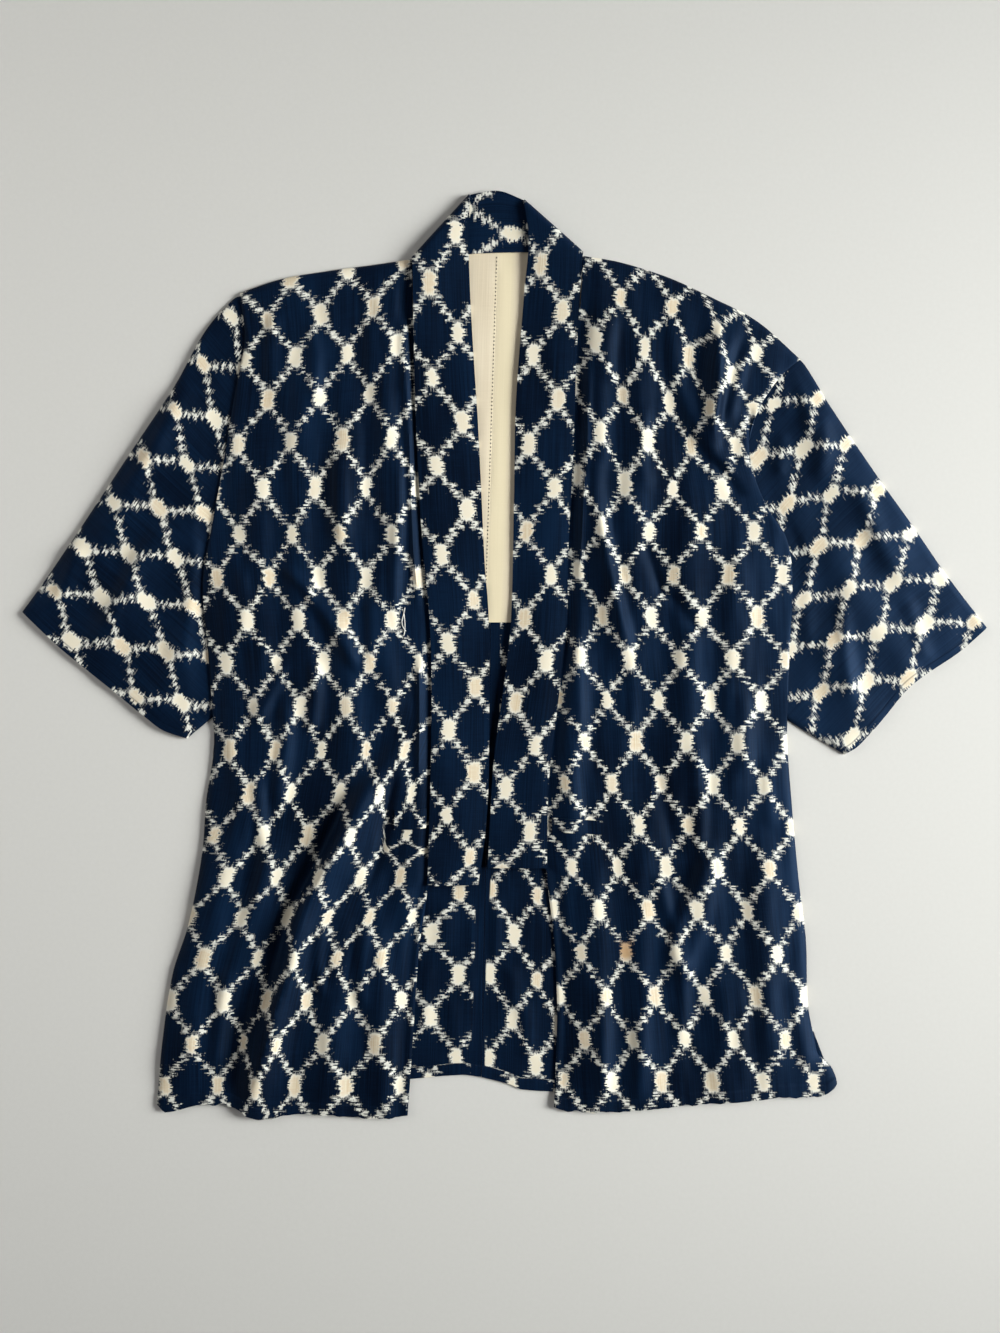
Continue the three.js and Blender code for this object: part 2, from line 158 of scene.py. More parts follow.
# The nodes of one material or group, with short names for the common ones.
class Tree:
    def __init__(self, tree):
        self.tree = tree

    def node(self, kind, inputs=None, **settings):
        made = self.tree.nodes.new(kind)
        for name, value in settings.items():
            setattr(made, name, value)
        for name, value in (inputs or {}).items():
            self.give(made.inputs[name], value)
        return made

    def give(self, socket, value):
        if isinstance(value, Value):
            value = value.socket
        if isinstance(value, bpy.types.NodeSocket):
            self.tree.links.new(value, socket)
        else:
            socket.default_value = value

    def maths(self, operation, *values):
        made = self.node("ShaderNodeMath", dict(enumerate(values)), operation=operation)
        return Value(self, made.outputs[0])

    def vector(self, x, y, z=0.0):
        return self.node("ShaderNodeCombineXYZ", {"X": x, "Y": y, "Z": z}).outputs[0]

    def parts(self, vector):
        split = self.node("ShaderNodeSeparateXYZ", {"Vector": vector})
        return [Value(self, part) for part in split.outputs]

    # Smooth noise from 0 to 1, whose middle is 0.5. Another seed gives another noise.
    def noise(self, x, y, seed=0.0, detail=1.0):
        inputs = {"Vector": self.vector(x, y, seed), "Scale": 1.0, "Detail": detail}
        return Value(self, self.node("ShaderNodeTexNoise", inputs).outputs["Fac"])

    # A different number from 0 to 1 for each pair of whole numbers.
    def chance(self, x, y, seed=0.0):
        inputs = {"Vector": self.vector(x, y, seed)}
        return Value(self, self.node("ShaderNodeTexWhiteNoise", inputs).outputs["Value"])

    # The numbered sockets are those of the node's colours.
    def mixed(self, share, a, b):
        made = self.node("ShaderNodeMix", data_type="RGBA")
        self.give(made.inputs[0], share)
        self.give(made.inputs[6], a)
        self.give(made.inputs[7], b)
        return made.outputs[2]

    # From 0 at low to 1 at high.
    def ramp(self, value, low, high):
        inputs = {"Value": value, "From Min": low, "From Max": high}
        return Value(self, self.node("ShaderNodeMapRange", inputs).outputs[0])

    # The fine relief of a cloth or thread: how strong, and how high in millimetres.
    def bump(self, height, strength, distance):
        inputs = {"Height": height, "Strength": strength, "Distance": distance * mm}
        return self.node("ShaderNodeBump", inputs).outputs[0]


def newGroup(name, inputs, outputs):
    group = bpy.data.node_groups.new(name, "ShaderNodeTree")
    for socket, kind in inputs.items():
        group.interface.new_socket(socket, in_out="INPUT", socket_type=kind)
    for socket, kind in outputs.items():
        group.interface.new_socket(socket, in_out="OUTPUT", socket_type=kind)
    tree = Tree(group)
    return group, tree, tree.node("NodeGroupInput").outputs, tree.node("NodeGroupOutput")


# The kasuri pattern: blocks on a lattice, joined on the slant by short steps. Millimetres.
repeat = {"across": 51.7, "along": 82.7}
lattice = {
    "blockHalf": 9.9,  # half the block's length, along the warp
    "blockSide": 5.9,  # half its width
    "blockCorner": 3,  # 2 is an ellipse, and more is squarer
    "uneven": 1.8,  # how much the blocks differ in size
    "steps": ((7.4, 13.8), (12.9, 20.7)),  # the middles of the steps between two blocks
    "stepSide": 2.6,
    "stepHalf": 3.7,
    "stepBroken": 3.4,  # how far threads fail to reach the steps
    "brokenPower": 3.0,  # more makes long gaps rarer
    "stepDim": 0.3,  # how dark the darkest of the threads that reach them are
    "hair": 0.85,  # the width of the pale single threads round the blocks and steps
    "hairReach": 2.6,
    "hairRun": 7.0,
    "hairPower": 4.0,  # more makes long ones rarer
    "hairPale": 0.3,
    "thread": 1.25,  # the height of a row of threads that slip together
    "patch": 11.0,  # and how far across the cloth they do so
    "threadSlip": 4.0,
    "bundle": (20, 4.5),  # the reach of a bundle of threads that slip, across and along
    "bundleSlip": 5.0,
    "warp": (1.6, 12),  # and of the warp threads that do
    "warpSlip": 5.0,
    "depth": (0.5, -2.5),  # from the edge of a block to where its full colour begins
    "dimFrom": (-0.5, 1.0),  # from where beside a block the steps are dimmer
    "soft": 0.45,
}


def kasuriGroup():
    group, tree, given, result = newGroup(
        "kasuri pattern",
        {"Place": "NodeSocketVector"},
        {"Cream": "NodeSocketFloat", "Depth": "NodeSocketFloat", "Tint": "NodeSocketFloat"},
    )
    u, v, _ = tree.parts(given["Place"])
    across = u * repeat["across"]
    along = v * repeat["along"]
    row = tree.maths("FLOOR", along / lattice["thread"])
    patch = tree.maths("FLOOR", across / lattice["patch"] + tree.chance(row, 0.0, 5.0))
    thread = tree.chance(row, patch) - 0.5
    bundle = tree.noise(across / lattice["bundle"][0], along / lattice["bundle"][1], 7.0) - 0.5
    warp = tree.noise(across / lattice["warp"][0], along / lattice["warp"][1], 3.0) - 0.5
    slipAcross = thread * lattice["threadSlip"] + bundle * lattice["bundleSlip"]
    halfAcross = repeat["across"] / 2
    halfAlong = repeat["along"] / 2
    a = tree.maths("PINGPONG", across + slipAcross, halfAcross)
    b = tree.maths("PINGPONG", along + warp * lattice["warpSlip"], halfAlong)
    far = tree.maths("GREATER_THAN", a / halfAcross + b / halfAlong, 1.0)
    # Every second block is half a repeat further on both ways: places near it are measured from it.
    a = a + far * (a * -2 + halfAcross)
    b = b + far * (b * -2 + halfAlong)

    def nearestBlock(value):
        whole = tree.maths("ROUND", value)
        return whole + far * (tree.maths("FLOOR", value) + 0.5 - whole)

    blockAcross, blockAlong = nearestBlock(u), nearestBlock(v)
    size = tree.chance(blockAcross, blockAlong, 1.0) - 0.5
    power = lattice["blockCorner"]
    side = tree.maths("POWER", a / lattice["blockSide"], power)
    end = tree.maths("POWER", b / lattice["blockHalf"], power)
    fromMiddle = tree.maths("POWER", side + end, 1 / power)
    block = (fromMiddle - 1) * lattice["blockSide"] + size * lattice["uneven"]
    steps = None
    for x, y in lattice["steps"]:
        step = tree.maths("MAXIMUM", abs(a - x) - lattice["stepSide"], abs(b - y) - lattice["stepHalf"])
        steps = tree.maths("MINIMUM", steps, step) if steps else step
    broken = tree.chance(row, patch, 9.0)
    broken = tree.maths("POWER", broken, lattice["brokenPower"]) * lattice["stepBroken"]
    distance = tree.maths("MINIMUM", block, steps + broken)

    # Single threads, across and along, reach further out than the rest and look less pale.
    def hairs(beside, lengthwise, seed):
        hair = tree.maths("FLOOR", beside / lattice["hair"])
        stretch = tree.maths("FLOOR", lengthwise / lattice["hairRun"] + tree.chance(hair, seed, 6.0))
        length = tree.maths("POWER", tree.chance(hair, stretch, seed), lattice["hairPower"])
        return length * lattice["hairReach"]

    reach = tree.maths("MAXIMUM", hairs(along, across, 11.0), hairs(across, along, 12.0))
    solid = tree.ramp(distance, lattice["soft"], -lattice["soft"])
    dim = tree.chance(row, patch, 14.0) * tree.ramp(block, *lattice["dimFrom"]) * lattice["stepDim"]
    pale = tree.ramp(distance - reach, lattice["soft"], -lattice["soft"]) * lattice["hairPale"]
    tree.give(result.inputs["Cream"], tree.maths("MAXIMUM", solid - solid * dim, pale))
    tree.give(result.inputs["Depth"], tree.ramp(block, *lattice["depth"]))
    tree.give(result.inputs["Tint"], tree.chance(blockAcross, blockAlong, 2.0))
    return group


# The fine weave that all the cotton has. Millimetres.
weaveLook = {
    "slubs": (20, 1.1),  # the reach of one thick place of a weft thread, across and along
    "warp": (1.1, 80),  # and of one paler stretch of a warp thread
    "threadHigh": 0.3,
    "slubHigh": 0.5,
    "warpHigh": 0.5,
    "warpStreaks": 0.75,  # the warp's share of the streaks
}


def weaveGroup():
    group, tree, given, result = newGroup(
        "plain weave",
        {"Place": "NodeSocketVector", "Pitch": "NodeSocketFloat"},
        {"Height": "NodeSocketFloat", "Streaks": "NodeSocketFloat"},
    )
    across, along, _ = tree.parts(given["Place"])
    pitch = Value(tree, given["Pitch"])

    def wave(distance):
        return tree.maths("SINE", distance * math.pi / pitch)

    slubs = tree.noise(across / weaveLook["slubs"][0], along / weaveLook["slubs"][1])
    warp = tree.noise(across / weaveLook["warp"][0], along / weaveLook["warp"][1])
    raised = wave(across) * wave(along) * weaveLook["threadHigh"]
    raised = raised + slubs * weaveLook["slubHigh"] + warp * weaveLook["warpHigh"]
    tree.give(result.inputs["Height"], raised)
    share = weaveLook["warpStreaks"]
    tree.give(result.inputs["Streaks"], warp * share + slubs * (1 - share))
    return group


addRoom()
kasuriPattern = kasuriGroup()
plainWeave = weaveGroup()


def newMaterial(name, finish):
    material = bpy.data.materials.new(name)
    material.use_nodes = True
    shader = material.node_tree.nodes["Principled BSDF"]
    for socket, value in finish.items():
        shader.inputs[socket].default_value = value
    return material, Tree(material.node_tree), shader


kasuriLook = {
    "navy": (0.0004, 0.0024, 0.0085, 1),
    "navyWorn": (0.002, 0.01, 0.029, 1),
    # Painted sheen: a lighter navy where the window's light shines on the left sleeve.
    "navyPaintedSheen": (0.0085, 0.023, 0.055, 1),
    "patches": (60, 140),  # the reach of a worn patch, across and along
    "wornFrom": (0.4, 0.62),
    "paintedSheenSide": (190, 400),  # the window's light is painted as a sheen on the left sleeve, from here to here
    "paintedSheenMost": 0.95,
    "thread": (0.78, 0.76, 0.66, 1),  # the thin parts of the pattern
    "cream": (0.79, 0.71, 0.54, 1),  # and the middles of its blocks
    "tan": (0.68, 0.54, 0.35, 1),
    "tanFrom": (0.5, 0.7),  # the share of the blocks that stay cream, and that aren't full tan
    "tanStreaks": (0.3, 0.6),
    "pitch": 0.8,
    "bump": (0.25, 0.4),
    "plainEdge": (1.2, 0.2),  # the pattern fades out over this distance beside the back seam
    "cuffHem": {"at": 6.5, "half": 1.1, "dark": 0.55, "deep": 1.6},  # a line where the cuff is turned in
    "stain": {
        "at": (115, -278),
        "reach": (13, 7),
        "uneven": 8,
        "colour": (0.5, 0.27, 0.1, 1),
        "strength": 0.75,
    },
    "finish": {"Roughness": 0.58, "Specular IOR Level": 0.13, "Specular Tint": (0.34, 0.58, 1, 1)},
}


def kasuriMaterial():
    material, tree, shader = newMaterial("kasuri", kasuriLook["finish"])
    place = tree.node("ShaderNodeUVMap", uv_map="weave").outputs[0]
    pattern = tree.node("ShaderNodeGroup", node_tree=kasuriPattern)
    tree.give(pattern.inputs["Place"], place)
    u, v, _ = tree.parts(place)
    across = u * repeat["across"]
    along = v * repeat["along"]
    weave = tree.node("ShaderNodeGroup", node_tree=plainWeave)
    tree.give(weave.inputs["Place"], tree.vector(across, along))
    tree.give(weave.inputs["Pitch"], kasuriLook["pitch"])
    streaks = Value(tree, weave.outputs["Streaks"])
    patches = kasuriLook["patches"]
    faded = tree.noise(across / patches[0], along / patches[1], 4.0, detail=3.0)
    worn = tree.ramp(streaks * 0.5 + faded * 0.5, *kasuriLook["wornFrom"])
    navy = tree.mixed(worn, kasuriLook["navy"], kasuriLook["navyWorn"])
    x, y, _ = tree.parts(tree.node("ShaderNodeTexCoord").outputs["Object"])
    # Painted sheen: the navy grows lighter towards the left sleeve, near the window, a little more where
    # the cloth is worn.
    paintedSheen = tree.ramp(x / mm, *kasuriLook["paintedSheenSide"]) * kasuriLook["paintedSheenMost"]
    paintedSheen = paintedSheen * (worn * 0.5 + 0.5)
    navy = tree.mixed(paintedSheen, navy, kasuriLook["navyPaintedSheen"])
    tint = Value(tree, pattern.outputs["Tint"])
    soaked = tree.ramp(tint, *kasuriLook["tanFrom"]) * tree.ramp(streaks, *kasuriLook["tanStreaks"])
    middle = tree.mixed(soaked, kasuriLook["cream"], kasuriLook["tan"])
    cream = tree.mixed(pattern.outputs["Depth"], kasuriLook["thread"], middle)
    stain = kasuriLook["stain"]
    aside, ahead = x / mm - stain["at"][0], y / mm - stain["at"][1]
    fromStain = tree.maths("SQRT", aside * aside + ahead * ahead) + (streaks - 0.5) * stain["uneven"]
    stained = tree.ramp(fromStain, *stain["reach"]) * stain["strength"]
    cream = tree.mixed(stained, cream, stain["colour"])
    # The edges of the cloth are plain navy where the two back pieces meet.
    plain = Value(tree, tree.node("ShaderNodeAttribute", attribute_name="plain").outputs["Fac"])
    patterned = Value(tree, pattern.outputs["Cream"]) * tree.ramp(plain, *kasuriLook["plainEdge"])
    colour = tree.mixed(patterned, navy, cream)
    cuffHem = kasuriLook["cuffHem"]
    fromCuff = Value(tree, tree.node("ShaderNodeAttribute", attribute_name="fromCuff").outputs["Fac"])
    line = tree.ramp(abs(fromCuff - cuffHem["at"]), cuffHem["half"], 0.0)
    tree.give(shader.inputs["Base Color"], tree.mixed(line * cuffHem["dark"], colour, kasuriLook["navy"]))
    height = Value(tree, weave.outputs["Height"]) - line * cuffHem["deep"]
    tree.give(shader.inputs["Normal"], tree.bump(height, *kasuriLook["bump"]))
    return material


liningLook = {
    "cream": (0.79, 0.68, 0.5, 1),
    "aged": (0.68, 0.57, 0.4, 1),
    "clouds": (30, 90),  # the reach of an aged patch, across and along
    "cloudEdge": (0.35, 0.65),
    "streakEdge": (0.3, 0.7),
    "streaked": 0.6,  # the streaks' share of the ageing
    # A yellower strip, left of the seam.
    "strip": {"at": 8, "reach": (12, 5), "colour": (0.83, 0.72, 0.46, 1), "strength": 0.6},
    "pitch": 0.6,
    "bump": (0.2, 0.3),
    "uneven": 0.4,
    "seam": 0.02,  # the halves almost touch
    "finish": {"Roughness": 0.85, "Specular IOR Level": 0.2, "Sheen Weight": 0.05},
}


def liningMaterial():
    material, tree, shader = newMaterial("lining", liningLook["finish"])
    place = tree.node("ShaderNodeUVMap", uv_map="weave").outputs[0]
    weave = tree.node("ShaderNodeGroup", node_tree=plainWeave)
    tree.give(weave.inputs["Place"], place)
    tree.give(weave.inputs["Pitch"], liningLook["pitch"])
    across, along, _ = tree.parts(place)
    streaks = tree.ramp(Value(tree, weave.outputs["Streaks"]), *liningLook["streakEdge"])
    reach = liningLook["clouds"]
    clouds = tree.noise(across / reach[0], along / reach[1], 2.0, detail=2.0)
    clouds = tree.ramp(clouds, *liningLook["cloudEdge"])
    share = liningLook["streaked"]
    fresh = streaks * share + clouds * (1 - share)
    cream = tree.mixed(fresh, liningLook["aged"], liningLook["cream"])
    strip = liningLook["strip"]
    yellow = tree.ramp(abs(across - strip["at"]), *strip["reach"]) * strip["strength"]
    tree.give(shader.inputs["Base Color"], tree.mixed(yellow, cream, strip["colour"]))
    tree.give(shader.inputs["Normal"], tree.bump(weave.outputs["Height"], *liningLook["bump"]))
    return material


threadLook = {
    "navy": (0.004, 0.008, 0.02, 1),
    "white": (0.8, 0.78, 0.72, 1),
    "twist": 0.9,
    "shade": 0.75,  # of the full colour, between two strands
    "bump": (0.3, 0.1),
    "finish": {"Roughness": 0.7, "Specular IOR Level": 0.2},
}


def threadMaterial(colour):
    material, tree, shader = newMaterial(f"{colour}Thread", threadLook["finish"])
    x, y, z = tree.parts(tree.node("ShaderNodeTexCoord").outputs["Object"])
    turns = tree.maths("SINE", (x + y + z) / (threadLook["twist"] * mm) * (2 * math.pi))
    full = threadLook[colour]
    shaded = tuple(threadLook["shade"] * value for value in full[:3]) + (1,)
    tree.give(shader.inputs["Base Color"], tree.mixed(tree.ramp(turns, -1.0, 1.0), shaded, full))
    tree.give(shader.inputs["Normal"], tree.bump(turns, *threadLook["bump"]))
    return material


floorLook = {
    "size": 8000,
    "below": 0.2,  # how far it is under the cloth
    "speckles": 260,  # to a metre
    "colour": (0.66, 0.637, 0.585, 1),
    "darker": (0.63, 0.607, 0.555, 1),
    "finish": {"Roughness": 0.8},
}


def floorMaterial():
    material, tree, shader = newMaterial("floor", floorLook["finish"])
    place = tree.node("ShaderNodeTexCoord").outputs["Object"]
    x, y, _ = tree.parts(place)
    speckle = tree.noise(x * floorLook["speckles"], y * floorLook["speckles"], detail=2.0)
    tree.give(shader.inputs["Base Color"], tree.mixed(speckle, floorLook["darker"], floorLook["colour"]))
    return material


kasuri = kasuriMaterial()
cotton = liningMaterial()
threads = {colour: threadMaterial(colour) for colour in ("navy", "white")}


def addFloor():
    bpy.ops.mesh.primitive_plane_add(size=floorLook["size"] * mm)
    floor = bpy.context.object
    floor.name = "floor"
    floor.location.z = -floorLook["below"] * mm
    floor.data.materials.append(floorMaterial())


addFloor()

print("stage: outlines and folds")

cloth = 1.2  # the cotton of the body and sleeves, as thick as its solid
bandCloth = 2.4
liningCloth = 1
seamGap = 0.3

# Heights of the middle of the cloth above the floor.
floorLayer = cloth / 2
frontLift = 5.2
frontEdgeLift = 3.5
frontHemLift = 2.4
overSleeveLift = 4.3
sleeveEndLift = 2.6
sleeveLift = 4.4
liningLift = cloth + seamGap + liningCloth / 2
bandSeamLift = 5.8
bandCrown = 1.4
bandFreeLift = 4.4
bandTurnRise = 3.4
neckSeamLift = 4.1
neckFreeLift = 2.2

# Distances over which an edge rounds off, the cloth is tucked under another piece, or a height fades.
sideRound = 9
foldRound = 6
bandRound = 5
neckTuck = 7
tuckFade = 12
armholeTuck = 14
armholeGap = 0.6
sideInset = 1.8
hemFade = 50
armholeClear = 3
tuckInset = 1.5

# Steps of the back's side: below the armhole, and along it, where the sleeve has the same ones.
sideSteps = 5
armholeSteps = 8

# A height changes smoothly from the first distance to the second.
spans = {
    "intoBand": (-4, 8),
    "outOfBand": (46, 70),
    "toBandEnd": (-30, 0),
    "toNeck": (40, 6),
    "underarm": (26, 9),
    "sleeveEnd": (3, 45),
    "bandTurn": (110, 15),
}
bandSlope = (0.14, 0.7)  # in shares of the band's width

centreBack = -6
backSlant = -16  # how far the centre seam is off at the hem
neckLine = 386
# Each side's outlines, x and y. A tuck has its height on the front, how far it reaches in shares of the
# front's width, how far its pattern is off, the line of its stitches and its size laid flat.
cuts = {
    "right": {
        "side": -1,
        "hem": [(-92, -437), (-120, -440), (-164, -437), (-201, -436), (-234, -440.5), (-261, -428),
                (-294, -428), (-321, -434), (-330, -427)],
        "shoulder": [(-88, 376), (-128, 370), (-159, 366), (-212, 357), (-251, 344)],
        "seam": [(-92, -437), (-87, -363), (-81, -278), (-73, -219), (-69, -62), (-71, 33), (-78, 109),
                 (-84, 223), (-87, 300), (-88, 376)],
        "edge": [(-330, -427), (-325, -369), (-315, -303), (-300, -256), (-287, -188), (-283, -137),
                 (-276, -90), (-277, -50), (-281, 3), (-286, 68), (-277, 124), (-266, 185), (-254, 256),
                 (-246, 300), (-251, 344)],
        "backHem": [(centreBack, -401), (-40, -399), (-90, -403), (-180, -412), (-328.2, -424)],
        "sleeveTop": [(-250, 341), (-259, 337), (-284, 308), (-313, 256), (-348, 203), (-405, 117),
                      (-437, 70), (-458, 41)],
        "sleeveUnder": [(-277, -58), (-302, -79)],
        "cuff": [(-458, 41), (-421, 6), (-374, -32), (-342, -58), (-325, -71), (-302, -79)],
        "armhole": (338, -48),
        "tuck": {"top": -142, "bottom": -163, "reach": 0.2, "stripShift": 0,
                 "stitched": [(-72, -185), (-88, -186)], "thread": "navy", "flat": (0.031, 0.0195)},
    },
    "left": {
        "side": 1,
        "hem": [(47, -429), (60, -433), (119, -433), (179, -427), (229, -424), (266, -420), (300, -419),
                (313, -412)],
        "shoulder": [(75, 379), (110, 373), (157, 358), (200, 338), (240, 317), (281, 281)],
        "seam": [(47, -429), (50, -338), (47, -270), (40, -202), (42, -119), (51, -43), (59, 33), (60, 90),
                 (67, 214), (69, 280), (75, 379)],
        "edge": [(313, -412), (315.5, -407), (312, -395), (305, -386), (298, -380), (295, -369),
                 (288, -332), (286, -270), (279, -212), (272, -134), (268, -72), (270, 4), (273, 70),
                 (267, 111), (250, 138), (236, 172), (232, 200), (240, 231), (252, 252), (266, 269),
                 (281, 281)],
        "backHem": [(centreBack, -401), (5, -408), (17, -413), (90, -416), (200, -416), (311.2, -409)],
        "sleeveTop": [(270, 282), (281, 280), (287, 273), (297, 257), (307, 240), (356, 167), (386, 125),
                      (419, 77), (458, 26)],
        "sleeveUnder": [(269, -61), (292, -76), (323, -94)],
        "cuff": [(458, 26), (433, 4), (386, -29), (360, -59), (336, -86), (323, -94)],
        "armhole": (272, -51),
        "tuck": {"top": -149, "bottom": -166, "reach": 0.3, "stripShift": -0.33,
                 "stitched": [(66, -146), (82, -144.5), (100, -148)], "thread": "white",
                 "flat": (0.048, 0.015)},
    },
}
band = {
    "rightSeam": [(-73, -219), (-69, -62), (-71, 33), (-78, 109), (-84, 223), (-86, 300), (-87.2, 377)],
    "rightFree": [(-25, -218), (-18, -166), (-15, -109), (-15, 33), (-19, 90), (-25, 214), (-31, 309),
                  (-34, 382), (-33, 437)],
    "leftSeam": [(40, -202), (42, -119), (51, -43), (59, 33), (60, 90), (66, 214), (68, 280), (74, 382)],
    "leftFree": [(-16, -202), (-10, -100), (0, -24), (6, 31), (9, 147), (11, 242), (19, 347), (23, 394),
                 (18, 432)],
    "neckSeam": [(-87.2, 377), (centreBack, 382), (74, 382)],
    "neckFree": [(-33, 437), (centreBack, 440.7), (18, 432)],
}
lining = {
    "bottom": 31,
    "reach": 196,
    "neck": 384,
    "shoulderGap": 16,
    "step": 4,
    "slant": -11.5,  # how far the seam is off at the lower end
    "slantFull": 30,  # the cloth follows the slant in full, up to this far from the seam
    "columns": 50,
    "rows": 90,
    "looseSide": (60, 40),  # the cloth is uneven near the seam, but not on it,
    "looseSeam": (0, 5),
    "looseLow": (0, 20),  # nor at its lower edge
    "looseHigh": (372, 360),  # or under the collar
}

# Folds: a line from x0, y0 to x1, y1, its bow, half width, lean and height.
folds = {
    "right": [
        (-98, -84, -246, -436, 20, 16, -0.35, 12),
        (-116, 100, -106, -60, 3, 12, 0, 4.5),
        (-110, 330, -108, 110, 3, 11, 0, 4),
        (-148, 250, -142, -150, 5, 15, 0, 4.5),
        (-190, 300, -188, -60, 4, 16, 0, 4),
        (-230, 220, -226, -120, 5, 15, 0, 4.5),
        (-258, 110, -250, -160, 3, 12, 0, 3.5),
        (-236, -120, -300, -400, 8, 17, 0, 5),
        (-150, -240, -170, -438, 2, 16, 0, 5),
        (-118, -250, -114, -438, 2, 12, 0, 4.5),
        (-205, -160, -262, -330, 6, 14, -0.3, 5),
    ],
    "left": [
        (86, 160, 120, -10, 4, 12, 0.3, 6),
        (72, 60, 64, -190, 3, 11, 0, 4),
        (94, 330, 90, 170, 2, 13, 0, 4),
        (130, 300, 128, 20, 3, 16, 0, 4),
        (214, 306, 196, 200, 3, 13, 0.3, 7),
        (178, 150, 176, -120, 3, 16, 0, 5),
        (224, 120, 222, -140, 3, 16, 0, 4.5),
        (196, -180, 166, -310, -6, 13, 0.3, 6),
        (86, -190, 92, -428, 3, 14, 0, 5),
        (132, -150, 134, -428, 2, 15, 0, 4.5),
        (246, -180, 256, -400, 3, 16, 0, 5),
        (210, -310, 216, -424, 2, 14, 0, 4),
    ],
    "sleeveRight": [
        (-290, 250, -410, 60, 4, 20, 0, 4),
        (-306, 130, -390, 0, 3, 18, 0, 3.5),
        (-300, 20, -330, -56, 2, 14, 0, 3),
    ],
    "sleeveLeft": [
        (280, 236, 400, 60, 4, 20, 0, 4),
        (296, 120, 390, -20, 3, 18, 0, 3.5),
        (300, 20, 350, -70, 2, 16, 0, 4),
    ],
}

